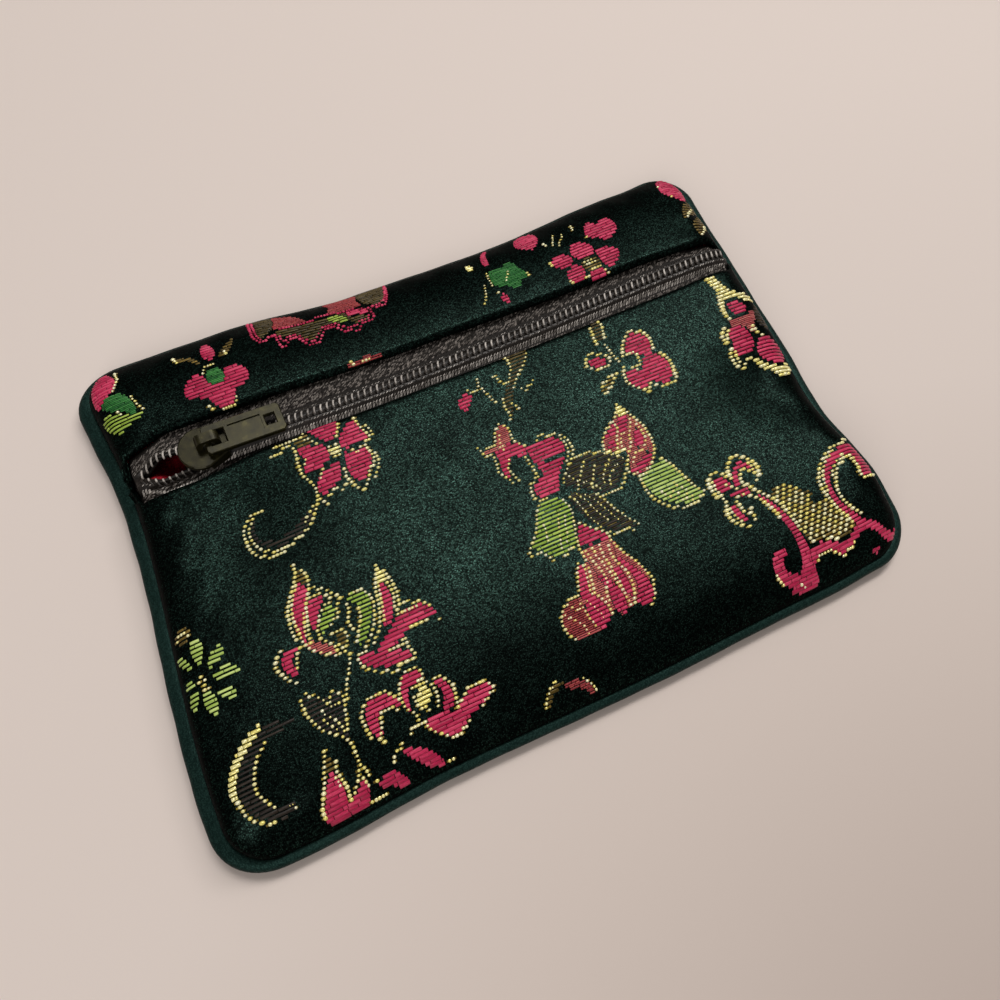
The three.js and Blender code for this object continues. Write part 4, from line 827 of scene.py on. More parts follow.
# A line of gold beads: bead size against the usual one, and the points that it runs through
Line = namedtuple("Line", "size points")
FLOWER_LINES = (
    Line(1.0, ((-30.9, 14.3), (-29.9, 13.6), (-30.3, 11.5), (-30.4, 9.6), (-30.2, 8.3), (-29.5, 7.1),
        (-29.1, 5.8), (-29.3, 4.5), (-29, 3.3), (-28.2, 2.8))),
    Line(0.9, ((-28.8, 11), (-29.5, 10.4))),
    Line(0.9, ((-34.2, 13.8), (-32.6, 13.7), (-31.2, 14.6), (-28.4, 14.8), (-26.8, 13.9), (-26.2, 13))),
    Line(0.8, ((-33.4, 14.8), (-30.4, 15.2), (-27.6, 15.4))),
    Line(1.0, ((-21.7, 15.2), (-22.2, 14), (-22.8, 13))),
    Line(1.0, ((-18.9, 14.9), (-18.5, 13.2), (-18.1, 12), (-17.7, 10.7), (-18.9, 10), (-18.8, 8.8),
        (-18.5, 7.6), (-18.7, 6.3), (-20, 5.4), (-20.5, 4.2), (-21.5, 2.9), (-22.5, 2.8), (-23.2, 3.9),
        (-23.7, 4.9), (-24.7, 4.2), (-25.7, 4.2), (-26.5, 4.8), (-27, 4), (-28, 3.7))),
    Line(0.8, ((-17.9, 13.4), (-17.2, 12.4), (-17.2, 11))),
    Line(0.8, ((-18, 7.5), (-18, 6), (-18.7, 4.8), (-19.8, 3.8))),
    Line(0.9, ((-24.6, 11.7), (-24.8, 10.7), (-24.2, 9.8), (-23.3, 9.8), (-22.9, 11), (-23.6, 11.9))),
    Line(0.9, ((-21.3, 9.9), (-20.8, 9.3), (-19.6, 9.6))),
    Line(0.9, ((-26.6, 8.7), (-27.3, 8), (-27.8, 7.2))),
    Line(0.9, ((-23.8, 7.4), (-23.6, 6.2), (-24, 5.5), (-24.2, 4.9))),
    Line(1.0, ((-29.6, 3.8), (-30.4, 2.4), (-31.6, 0.9), (-33, -0.2), (-35, -1), (-37.4, -1.9),
        (-39.6, -1.9), (-41.2, -1.2), (-42, 0), (-42.4, 1.6), (-42.4, 3.2), (-41.8, 4.6), (-40.8, 5.4),
        (-39.8, 5.9), (-38.2, 5.8))),
    Line(0.9, ((-30.4, 3.3), (-31.6, 2.3), (-32.6, 1.5))),
    Line(0.9, ((-40.2, 5), (-41.2, 4), (-41.6, 2.6), (-41.3, 1), (-40.4, -0.4), (-38.8, -1.2),
        (-36, -1.2))),
    Line(0.7, ((0.6, 12.1), (1.7, 11.5), (2.7, 12.6), (3, 13.8))),
    Line(0.7, ((3, 11.8), (3.1, 10.8), (3.4, 10.2), (3.8, 8.7), (4.4, 8.3))),
    Line(0.7, ((5.3, 13.2), (6.1, 13), (6.3, 11.7), (7.1, 11.2), (8.4, 11.6))),
    Line(0.8, ((9.2, 15.4), (9.2, 13.4), (8.3, 12.4))),
    Line(0.8, ((12.9, 15.3), (11.6, 13.4), (10.2, 12.2), (9, 11), (7.8, 9.6))),
    Line(0.8, ((5.5, 8.6), (5, 7), (5.3, 5.6), (5.2, 4.6), (4.5, 4.2))),
    Line(0.8, ((6.3, 7.1), (6.9, 6.4), (7.2, 5.7))),
    Line(0.7, ((9, 8.8), (10, 8.8), (10.9, 9.2), (11.8, 9.9))),
    Line(1.0, ((27.2, 15.5), (27.4, 14.6), (27, 13.8), (26.7, 12.7))),
    Line(1.0, ((25.2, 15.2), (25.1, 13.6), (24.8, 12.6), (25, 11.6))),
    Line(0.8, ((26, 11.2), (26.3, 10.2), (26.5, 8.6), (26.9, 7))),
    Line(1.1, ((21.3, 8.4), (21.4, 9.4), (22.1, 10.1), (23.4, 10.2), (24.6, 9.6), (25.5, 8.9),
        (25.4, 7.7), (24.4, 7.1), (23.3, 7), (22.2, 7.5), (21.4, 8))),
    Line(1.0, ((21.4, 2.8), (22.3, 2.8), (23.3, 3.3), (24.4, 4.4), (25.6, 5.3))),
    Line(1.0, ((21.8, 3.9), (22.5, 4.5), (23.6, 4.9), (24.8, 5.2))),
    Line(1.2, ((27.9, 7.9), (28.5, 9), (29, 9.9), (29.8, 10.8), (30.6, 11.4), (31.5, 11.7), (32.5, 11.2),
        (33.4, 10.7), (33.8, 9.8), (34, 8.7), (33.8, 7.8), (33.4, 6.9))),
    Line(1.0, ((28.4, 8), (29.6, 8), (30.4, 7.2))),
    Line(1.2, ((27.2, 5.7), (26.6, 5), (26.3, 4), (26.2, 3), (26.8, 2), (27.4, 1.3), (28.2, 0.6),
        (29, 0.1), (29.7, 0.9), (30.4, 0.7), (31.2, 0.2), (32.4, -0.2), (33.4, -0.4), (34.4, 0.1),
        (34.8, 0.9))),
    Line(1.3, ((34.2, 5.8), (34.8, 4.9), (35.1, 3.6), (35, 2.5), (34.6, 1.5))),
    Line(0.9, ((30.3, 6.3), (30, 5.4), (29, 4.8), (28, 5.2))),
)
FIGURE_LINES = (
    Line(0.8, ((-2.3, 1.7), (-1.9, 0.8), (-1.7, 0), (-0.6, -0.3), (-0.6, -1.7), (-0.9, -3), (-0.9, -3.8),
        (-0.2, -4.8), (0.4, -6.1))),
    Line(0.8, ((-1.2, 1.5), (0, 1.3), (0.8, 1.6), (1, 2.4), (1.7, 3.6), (2.6, 4.2), (3.7, 3.8),
        (3.8, 2.6), (3.7, 1.2), (3.9, 0.4), (4.5, -0.4), (5.3, -0.8))),
    Line(0.8, ((1.5, -2.4), (0.8, -3), (0.9, -4.4), (1.2, -5.4), (1.5, -6.2))),
    Line(0.8, ((3.9, -2.6), (4.4, -3.2), (4.3, -4.2), (4.6, -5), (4.4, -6.2), (4.6, -7))),
    Line(0.7, ((0.9, 0.8), (1.6, 0.2), (1.5, 1.6), (2, 2.6))),
    Line(0.8, ((7, -0.5), (8.4, -0.4), (9.6, -0.7), (11, -1.3), (11.8, -2.3), (12.1, -3.4), (12.1, -4.4),
        (11.6, -5.4), (10.8, -6.2), (10, -6.9), (9.3, -7.6), (8.5, -8.4), (8, -9.2))),
    Line(0.7, ((10.8, -1.7), (11.3, -2.8), (11.3, -4), (10.8, -5.2), (10, -6.1))),
    Line(0.8, ((5, -6.8), (3.8, -7), (2.7, -7.7), (2.4, -8.6), (2.3, -9.6), (2.9, -10.6), (4.4, -10.9))),
    Line(0.7, ((9.8, -7), (11, -6.3), (12.4, -6), (14, -6.3), (15.6, -6.7), (17, -7.6), (18.2, -8.6),
        (19.2, -9.5))),
    Line(0.8, ((17.9, -12.2), (17.3, -13), (16.3, -13.7), (15, -14.3), (13.3, -14), (11.6, -13.2))),
    Line(0.75, ((12.6, -7.6), (11.7, -8.3), (11, -9.3), (10.2, -10.4), (9.4, -11.2))),
    Line(0.75, ((14.2, -8.6), (13.2, -9.5), (12.7, -10.6), (11.8, -11.8))),
    Line(0.75, ((16.8, -8.8), (15.6, -9.6), (14.6, -10.6), (14, -11.8))),
    Line(0.8, ((17.8, -10), (16.6, -10.4), (15.2, -11.6), (14.8, -12.6))),
    Line(0.75, ((11.4, -13.2), (12.5, -14.3), (13, -15.6), (13.5, -17), (14.1, -18), (14.6, -19),
        (15.2, -19.8), (15.8, -20.6))),
    Line(0.75, ((7.6, -12), (8.3, -12.8), (8.5, -13.8), (8.8, -15), (9, -16.2), (9.5, -17.4),
        (10, -18.4))),
    Line(0.75, ((8.9, -12.2), (9.6, -13.2), (10.1, -14.4), (10.4, -15.6), (10.9, -16.8), (11.6, -18))),
    Line(0.75, ((10.6, -19.8), (11.6, -20.7), (13, -20.6), (14.6, -21))),
    Line(0.8, ((2.6, -11.3), (1.7, -12.1), (1.2, -13), (0.8, -14), (0.2, -15), (-0.6, -16), (-1.3, -16.7),
        (-2.1, -17.4), (-2.4, -18.3))),
    Line(0.8, ((-1.6, -18.3), (-0.4, -18.9), (0, -19.7), (0.7, -20.6))),
    Line(0.8, ((2.3, -20.7), (3.5, -20.1), (4.6, -19.6))),
    Line(0.8, ((6.4, -12.2), (6.9, -13.4), (6.8, -14.6), (6.3, -15.9), (6, -17.1), (5.5, -18.3),
        (5.4, -19.5), (5, -20.6))),
    Line(0.7, ((5.4, -13.2), (4.4, -14.4), (3.8, -15.8), (3.2, -17.4), (2.6, -19))),
    Line(0.7, ((5.6, -14.6), (4.8, -16), (4.4, -17.6), (3.7, -18.8))),
    Line(0.7, ((1.7, -14.6), (1.4, -16.4), (1, -17.6))),
    Line(0.9, ((6.6, -16.4), (7.3, -16.8), (8, -17.6), (8.8, -18.4), (9.6, -19.1), (10.4, -19.8),
        (10.3, -20.7), (10.5, -22), (11, -23.4), (11.5, -24.6), (12.2, -25.8), (12.6, -26.9), (13, -28.3),
        (13.3, -29.6), (12.8, -30.9), (12.6, -31.8), (11.9, -32.7), (11, -33.4))),
    Line(0.9, ((5, -20.8), (5.2, -22), (4.9, -23), (3.6, -22.9), (3, -23.8), (2.6, -24.8), (2.2, -25.8),
        (1.8, -26.9), (1.1, -27.3), (0, -27.4), (-1.2, -27.8), (-1.9, -28.6), (-2.4, -29.4),
        (-2.7, -30.4), (-2.7, -31.4), (-2.4, -32.4), (-1.6, -33.4))),
    Line(0.9, ((5, -23.8), (4.7, -25), (4.4, -26.4), (4, -27.8), (4.6, -29), (5.1, -30.2), (5.1, -31.6))),
    Line(0.8, ((4.3, -24), (4, -25.4), (3.6, -26.8), (3.6, -28))),
    Line(0.9, ((5.8, -21.4), (6, -22.8), (6.3, -24.2), (6.6, -25.6), (6.6, -27), (5.8, -28.4),
        (5.6, -29.8))),
    Line(0.9, ((7, -21.4), (7, -22.8), (7.4, -24.2), (7.6, -25.6), (7.9, -27), (8.1, -28.6), (8.3, -30.2),
        (8.3, -31.6))),
    Line(0.9, ((8.2, -21.4), (8, -22.8), (8.2, -24.2), (8.2, -25.6), (8.4, -27.4), (8.4, -29))),
    Line(0.9, ((9.6, -21.8), (9.2, -23.2), (9.4, -24.6), (9.9, -26), (10.2, -27.4), (10, -29),
        (9.6, -30.6), (9, -31.6))),
    Line(0.7, ((1.2, -28.2), (1.4, -29.6), (1.6, -31))),
    Line(0.6, ((-1.8, -29.4), (-0.6, -30.4), (0.2, -31.6), (0.4, -32.8))),
    Line(0.6, ((-0.4, -28.4), (0.8, -29.4), (1.6, -30.8), (2, -32.4))),
    Line(0.6, ((2.4, -28.8), (3.2, -30.2), (3.6, -31.8))),
    Line(0.75, ((9, -8.6), (9.8, -9.6), (11, -10.6), (12, -11.4), (13, -12.6))),
    Line(0.7, ((10, -12.6), (11.2, -14), (11.8, -15.6), (12.4, -17), (13, -18.4))),
    Line(1.0, ((22.5, 0.2), (22.9, -0.8), (23.4, -2), (24, -3.3), (24.6, -4.6), (24.9, -6), (25, -7.4),
        (24.9, -8.8), (24.5, -10), (23.8, -11.2), (22.8, -12.2), (21.4, -13), (19.9, -12.9),
        (18.7, -12.2), (18.6, -11.2), (19.6, -10.2))),
    Line(0.9, ((21.8, -1.4), (21, -2.3), (19.8, -3), (18.6, -3.8), (17.6, -4.8), (17, -5.8),
        (16.7, -6.8))),
    Line(0.9, ((23.4, -3.4), (22.9, -4.6), (22, -5.8), (21.6, -7), (21, -8.2), (19.8, -9.2))),
    Line(0.9, ((20.4, -3), (20.6, -4.4), (19.8, -5.4), (19.4, -6.4), (18.8, -7.4))),
    Line(0.9, ((23.8, -4.6), (24, -5.4), (24.2, -7), (23.8, -8.4), (22.6, -9.2), (21.2, -9.6),
        (20, -10.6))),
    Line(0.8, ((21.4, -5.6), (20.4, -5.8), (19.8, -7.2))),
    Line(1.0, ((19.9, -13.4), (19.7, -14.6), (19.7, -15.6), (19.8, -16.6), (20, -17.5), (20.5, -18.5),
        (21.3, -19.6), (22.1, -20.4), (23.2, -20.9), (24.6, -21.2), (25.6, -21.5), (26.6, -21),
        (27.6, -20.5), (28.4, -20))),
    Line(1.0, ((24.4, -12), (25.1, -12.3), (25.7, -13.4), (26.1, -14.5), (26.4, -15.6), (26.8, -17),
        (27.2, -18.4), (27.8, -19.4))),
    Line(0.9, ((21.8, -17.6), (22.8, -18.6), (23.6, -19.4), (24.8, -20.1), (26, -20.4))),
    Line(0.8, ((23, -17.2), (24, -18.4), (25, -19.2), (26.2, -19.8))),
    Line(0.8, ((24.4, -16.8), (25.2, -18), (26, -18.8))),
)
LOTUS_LINES = (
    Line(1.0, ((-36.7, -4.9), (-36.8, -6), (-37.3, -7.1), (-38, -8.4), (-38.7, -9.4), (-39.4, -10.6),
        (-39.9, -12), (-40, -13.5), (-40, -15), (-39.7, -16))),
    Line(1.0, ((-37.2, -8), (-38.3, -9.6), (-39.1, -11.5), (-39.3, -13.5), (-39.1, -15.5), (-39, -17))),
    Line(1.0, ((-36.1, -5.8), (-35.4, -6.8), (-35.5, -8.2), (-35.8, -9.6), (-36.6, -10.9))),
    Line(1.0, ((-36.8, -11.3), (-37.2, -13), (-37.6, -14.6), (-38, -16.2), (-38, -17.4))),
    Line(1.0, ((-37.6, -12.6), (-38, -14.2), (-38.4, -15.8))),
    Line(1.1, ((-36.4, -10.9), (-35, -10.6), (-33.7, -11.2), (-32.4, -11.6), (-31.8, -12.4))),
    Line(0.7, ((-34.9, -9.6), (-33.8, -10.2), (-33, -10.8))),
    Line(1.0, ((-33.2, -12.3), (-34.2, -12.7), (-35.2, -13.5), (-36.1, -15), (-36.6, -16.4),
        (-36.3, -17.6), (-35.4, -18.6), (-34.8, -19.6))),
    Line(0.9, ((-34.6, -15.9), (-33.6, -15.4), (-32.7, -14.9), (-32.9, -14.1), (-32.3, -13))),
    Line(0.9, ((-35, -17.2), (-34, -17.3), (-33.2, -17.3), (-32.7, -18.3), (-33, -19.3), (-33.7, -19.8),
        (-34.5, -19.4))),
    Line(0.9, ((-31.3, -13.8), (-31.2, -15), (-31.8, -16), (-31.9, -17.2), (-31.4, -18.2))),
    Line(0.9, ((-30.6, -12.6), (-29.4, -12.5), (-28.2, -12.9), (-27.6, -14), (-27.4, -15.4), (-27.9, -17),
        (-28.4, -18.4), (-29.2, -19.6), (-30.1, -20.6), (-31.2, -21.3))),
    Line(1.0, ((-29.8, -15.5), (-30, -16.8), (-30.7, -18), (-31.2, -19.2), (-32, -20.2))),
    Line(1.0, ((-38.8, -17.5), (-37.8, -18.7), (-36.9, -19.5), (-36, -20.1), (-35, -20.5), (-34, -20.6),
        (-33.3, -21))),
    Line(0.9, ((-39.2, -16.9), (-40.2, -17.8), (-40.7, -19), (-41, -20.2))),
    Line(1.1, ((-42.1, -16.3), (-42.9, -16.9), (-43.4, -17.6), (-43.9, -18.6), (-43.6, -19.6),
        (-43, -20.4), (-42.4, -21.5), (-41.3, -21.7))),
    Line(0.8, ((-33.3, -21), (-33.8, -22.4), (-34.4, -23.7), (-35.2, -24.9), (-35.7, -26.2),
        (-36, -27.4))),
    Line(1.0, ((-25, -10.3), (-25.7, -11.8), (-26.3, -13.2), (-26.6, -14.8), (-26.9, -16.4),
        (-27.4, -18.2), (-28.3, -19.9), (-29.6, -21))),
    Line(0.9, ((-25.7, -13.4), (-26.1, -15), (-26.4, -16.8), (-26.9, -18.6))),
    Line(1.0, ((-24.3, -11.4), (-23.8, -12.8), (-23.6, -14.2), (-23.6, -15.6), (-24, -16.9))),
    Line(0.9, ((-24.5, -12.8), (-24.3, -14.4), (-24.3, -16), (-24.8, -17.4))),
    Line(1.0, ((-24.8, -17.7), (-23, -17.5), (-21.5, -17.9), (-20.3, -18.6), (-19.7, -19.4))),
    Line(0.9, ((-25, -18.4), (-23, -18.3), (-21.4, -18.8))),
    Line(1.3, ((-24, -21.5), (-22.4, -21.2), (-20.8, -21.3))),
    Line(1.0, ((-19.7, -22), (-19, -22))),
    Line(1.0, ((-25.8, -22.6), (-24.8, -22.9), (-26, -23.2), (-28.2, -23.2))),
    Line(1.0, ((-30.8, -21.6), (-32.4, -22), (-32.4, -23.2), (-31.8, -24.4), (-31, -25.1), (-30, -25.8),
        (-28.6, -26.3))),
    Line(1.5, ((-28, -26.2), (-26.6, -26.1), (-24.6, -26.1))),
    Line(1.0, ((-25.4, -23.8), (-24.8, -24.6), (-24.6, -25.4))),
    Line(0.9, ((-42, -24.6), (-42, -25.8), (-41.9, -27), (-41.3, -28.2), (-40.8, -29.4), (-39.8, -30.6),
        (-38.9, -31.2), (-38.1, -32.2), (-37.6, -33.2), (-37.6, -35), (-37.7, -36.2))),
    Line(0.9, ((-41, -24.2), (-40, -24.8), (-39.2, -25.6), (-38.6, -26.4), (-37.9, -26.9), (-37, -27.2))),
    Line(0.9, ((-38.2, -25.6), (-37.2, -25.5), (-36.5, -26.2), (-36.4, -27.4), (-36.9, -28.6), (-37, -30),
        (-37.5, -31.2))),
    Line(0.9, ((-39.8, -27.4), (-39.2, -28.4), (-38.4, -29.2), (-38, -30.2), (-37.9, -31.4))),
    Line(0.8, ((-39, -26.4), (-38.2, -27.2))),
    Line(0.8, ((-40.1, -28.6), (-39.3, -29.6), (-38.7, -30.6))),
    Line(0.8, ((-37.3, -37), (-37, -38))),
    Line(0.8, ((-38, -36.8), (-38.6, -37.8), (-39.2, -38.5), (-39.9, -39.1))),
    Line(1.0, ((-41.5, -32.7), (-42, -34), (-42.6, -35.3), (-43, -36.5), (-43.7, -37.7), (-44.4, -38.8),
        (-44.7, -40))),
    Line(1.0, ((-40.5, -34.5), (-40.9, -35.6), (-40.6, -36.9), (-40.4, -38.1), (-40.6, -39.5))),
    Line(0.8, ((-41.4, -36), (-41.1, -37.6))),
    Line(0.8, ((-37.9, -38.2), (-37.7, -39.2))),
    Line(0.8, ((-36.7, -39.3), (-36, -38.9))),
    Line(0.9, ((-38.4, -41.1), (-36.8, -41.2), (-35.6, -41.2))),
    Line(0.8, ((-33.2, -38.2), (-33, -37.4), (-32.2, -37), (-31.2, -36.5))),
    Line(0.8, ((-26.2, -41.2), (-25, -41.2))),
    Line(1.0, ((-34.9, -34), (-35, -32.6), (-35.1, -31), (-34.8, -29.9), (-34, -29), (-33, -28.4),
        (-31.9, -28.2), (-31, -28.3), (-30.2, -29.1), (-29.6, -30.1), (-29, -31))),
    Line(0.9, ((-33.6, -33.9), (-32.9, -32.8), (-32.7, -31.6), (-31.9, -30.9), (-30.9, -30.9),
        (-30, -31.7))),
    Line(1.1, ((-33.8, -34.6), (-33.1, -35.2))),
    Line(1.0, ((-29, -31), (-28.9, -29.6), (-28.2, -28.3), (-27.2, -27.4), (-26, -27.2), (-25, -27.6),
        (-24.8, -28.4), (-25, -29.2), (-26.2, -29.3))),
    Line(0.9, ((-27.3, -29.5), (-26.2, -29.8), (-25, -29.9), (-24.2, -30.3), (-24, -31.4), (-24, -32.6),
        (-24.6, -33.6))),
    Line(0.9, ((-29, -31.6), (-28.6, -32.4), (-28, -33.2), (-27.8, -34.2))),
    Line(0.9, ((-27.3, -31.2), (-27.2, -32.2), (-26.8, -33), (-25.8, -33.5))),
    Line(1.0, ((-23.9, -30.1), (-22.6, -29.9), (-21.9, -30.8), (-21.4, -31.8), (-21.5, -33),
        (-21.9, -34.4))),
    Line(0.9, ((-29.6, -35.4), (-28.2, -34.8), (-26.8, -34.9))),
    Line(0.9, ((-27.2, -35.2), (-26.9, -36.2), (-26, -37.2), (-24.9, -38), (-24.1, -38.7), (-22.4, -38.2),
        (-20.8, -37.3))),
    Line(1.0, ((-22.2, -35), (-20.9, -34.2), (-20, -33.5), (-19, -33), (-18, -32.9), (-17, -33.3),
        (-16, -34.2))),
    Line(0.9, ((-16.2, -34.7), (-17.4, -35.5), (-18.8, -36.2))),
    Line(0.7, ((-9.9, -40.2), (-9.2, -39), (-8.2, -38), (-7, -37.4))),
    Line(0.6, ((-3.2, -38.6), (-2.2, -39.6), (-1.6, -40.8))),
    Line(1.2, ((-54.3, -33.7), (-54.2, -34.3))),
    Line(0.9, ((-54.1, -35.1), (-53.6, -36.4), (-52.2, -37.6), (-50.5, -38.3))),
    Line(1.0, ((-48.2, -27.9), (-49.5, -28.7), (-50.5, -30.1), (-51.1, -31.4), (-51.5, -32.6),
        (-51.5, -33.9), (-50.9, -35.3), (-49.9, -36.3))),
    Line(0.7, ((-48.4, -36.8), (-47.6, -37.2))),
    Line(1.0, ((-54.7, -15.8), (-54, -15.4), (-53.6, -16.3), (-54.4, -16.6))),
    Line(0.8, ((-54.5, -17.2), (-53.2, -17.1))),
    Line(0.8, ((-56.4, -8.4), (-55.2, -8.2), (-54.4, -8.7))),
)
BASKET_LINES = (
    Line(1.5, ((29.5, -21.6), (29.4, -20.4), (29.5, -19.4), (29.9, -18.6), (30.6, -18.1), (31.5, -18),
        (32.2, -18.3), (32.9, -19))),
    Line(1.1, ((30.3, -22.3), (30.1, -20.8), (30.3, -19.4))),
    Line(1.2, ((31.6, -20.7), (32.4, -20.8), (32.8, -21.6), (33.6, -22))),
    Line(1.5, ((33.4, -20.2), (33.6, -18.8), (34.2, -17.8), (35, -17), (36, -16.6), (37, -16.9),
        (37.7, -17.6), (38.4, -18.4), (38.6, -19.4), (38.4, -20.4), (37.9, -21.2))),
    Line(1.1, ((37.4, -18.4), (37.8, -19.4), (37.5, -20.6))),
    Line(1.1, ((34.6, -22), (34.8, -20.6), (35.6, -19.5), (36.5, -19.4), (37, -20.2))),
    Line(1.2, ((36.8, -21.8), (37.3, -21.9))),
    Line(1.4, ((30.4, -23.4), (29.8, -24.2), (29.5, -25.2), (29.6, -26.2), (30, -27.2), (30.6, -27.9),
        (31.3, -28.3), (32.2, -28.5))),
    Line(1.0, ((30.4, -24.2), (30.3, -25.4), (30.6, -26.6), (31.2, -27.5))),
    Line(1.2, ((32, -24), (32, -25), (32.2, -26), (32.8, -26.6), (33.6, -26.1))),
    Line(1.1, ((33.4, -27), (33, -27.8))),
    Line(1.3, ((32.2, -23.4), (33.2, -23.5), (34.2, -23.6), (35, -24.2), (35.7, -25.2), (36.3, -26.6),
        (36.7, -28), (37, -29.4))),
    Line(1.3, ((35.2, -22), (35.6, -23), (36.4, -24.2), (37.2, -25.2), (38, -26.6), (38.4, -28.2),
        (38.8, -30.2), (39, -32.6))),
    Line(1.2, ((56.4, -21.5), (54.5, -21.6), (53, -21.8), (51.3, -22.2), (49.8, -22.9), (48.3, -23.8),
        (47, -25), (46.2, -26.3), (45.8, -27.8), (45.9, -29.4), (46.2, -31), (46.8, -32.7),
        (47.5, -34.2))),
    Line(1.0, ((52, -22.5), (50.4, -23.1), (48.9, -24), (47.6, -25.4), (46.8, -27), (46.5, -28.8))),
    Line(1.2, ((54.2, -24.9), (52.8, -24.7), (51.3, -25.1), (49.9, -26), (48.9, -27.3), (48.2, -28.7),
        (48, -30.3), (48.3, -31.8), (49, -33.3), (50.2, -34.7))),
    Line(1.0, ((53, -24), (51.4, -24.4), (49.8, -25.3), (48.6, -26.5))),
    Line(1.2, ((53.6, -25.4), (53.7, -26.8), (53.2, -28.2), (53.6, -29.2), (55, -29.4), (56.4, -28.9))),
    Line(0.9, ((32.1, -37.2), (32.5, -38.4), (33.2, -39.4))),
    Line(0.9, ((36, -40.3), (37, -40.6))),
    Line(0.8, ((39.9, -37.8), (41, -37.4), (42.3, -37.5), (43.4, -38.1), (44.6, -39), (46, -38.7),
        (47.4, -38.1))),
    Line(1.3, ((39.6, -34.9), (40.6, -35.2))),
    Line(1.2, ((42, -35.2), (43, -35.6), (44.3, -36.2), (45.2, -35.6))),
)
RIGHT_LINES = (
    Line(1.4, ((49.4, 15.8), (49.6, 14.4), (50.2, 13.2), (49.8, 12), (49.2, 10.6), (48.9, 9.2), (48.9, 8),
        (49.4, 7))),
    Line(1.3, ((50.6, 16), (51, 14.6), (51.4, 13.2), (52.2, 12.2), (53.4, 11.4), (55, 10.9),
        (56.4, 10.2))),
    Line(1.5, ((47.7, 5.9), (46.6, 5.2), (46.1, 4.3), (46.5, 3.3))),
    Line(1.3, ((48.2, 5), (47.3, 4.6), (47, 3.6))),
    Line(1.5, ((46.9, 2), (46.1, 0.9), (46, -0.3), (46.4, -1.4), (47.2, -2.2), (48, -1.8))),
    Line(1.2, ((47.2, 0.9), (47, -0.4), (47.6, -1.2), (48.8, -1), (49.8, -0.6))),
    Line(1.2, ((51.8, 3.8), (52.8, 4.2), (53.2, 2.8), (54.2, 2.6))),
    Line(1.5, ((50.2, -1.2), (50.6, -2.4), (51.4, -3.4), (52.5, -3.8), (53.1, -4.7), (53.7, -5.5),
        (55, -5.7), (56.4, -5))),
)
STRIP_LINES = (
    Line(0.8, ((-52.2, 40), (-52, 38.4), (-52.6, 37), (-53.4, 36))),
    Line(0.8, ((-51, 33.6), (-50.7, 32), (-50.4, 30.8), (-49.8, 29.9))),
    Line(0.9, ((-54, 31.2), (-53.4, 30.4))),
    Line(0.9, ((-40.2, 26.2), (-39.6, 25.5))),
    Line(0.8, ((-38.4, 24.9), (-37.2, 24.8), (-36, 25.1), (-35.2, 26))),
    Line(1.0, ((-42.4, 38.3), (-42, 37.3))),
    Line(1.0, ((-34, 36), (-33.8, 35.2))),
    Line(0.7, ((-38.8, 32.4), (-38.5, 33.4), (-37.4, 34), (-36.2, 33.8))),
    Line(1.2, ((-15.4, 25.3), (-15, 25.2))),
    Line(0.8, ((-13.6, 25), (-11.8, 25.2))),
    Line(0.8, ((20.2, 30.6), (20.5, 29.9))),
    Line(0.8, ((13.6, 28.9), (13.8, 28.5))),
    Line(0.6, ((13.5, 31), (13.5, 32.6), (13.8, 34.2))),
    Line(0.6, ((12.2, 31.4), (11.8, 29.8), (11.2, 28.4), (10.4, 27.4))),
    Line(0.6, ((17.6, 32.8), (16.8, 31.6), (16, 30.6))),
    Line(0.9, ((26.2, 35.6), (26.5, 35))),
    Line(0.6, ((30.4, 36.2), (29.4, 35), (28.4, 34))),
    Line(0.6, ((28.8, 37.2), (28.2, 35.8), (27.4, 34.4))),
    Line(0.8, ((32.6, 36.4), (33, 37.4))),
    Line(1.0, ((25, 30.6), (25.2, 30))),
    Line(1.0, ((26.4, 25.6), (26.9, 24.8))),
    Line(1.0, ((29.2, 24.9), (30.3, 24.8))),
    Line(0.9, ((30.4, 28.4), (31.4, 28.4), (32.4, 28.2))),
    Line(0.9, ((30.6, 27.3), (31.8, 27.3), (32.9, 27.2))),
    Line(0.9, ((31, 26.3), (32.2, 26.4), (33.4, 26.1))),
    Line(1.0, ((33.2, 25), (33.8, 24.5))),
    Line(1.0, ((34, 33.6), (34.3, 33))),
    Line(1.0, ((52.6, 38.9), (52.9, 38.6))),
    Line(0.9, ((53.2, 35.4), (53.8, 35))),
    Line(1.1, ((53.4, 29.6), (54.8, 30.6), (56.2, 31.6))),
    Line(1.2, ((53.6, 24.8), (54.8, 25.6), (56, 26.8))),
)
LINES = FLOWER_LINES + FIGURE_LINES + LOTUS_LINES + BASKET_LINES + RIGHT_LINES + STRIP_LINES

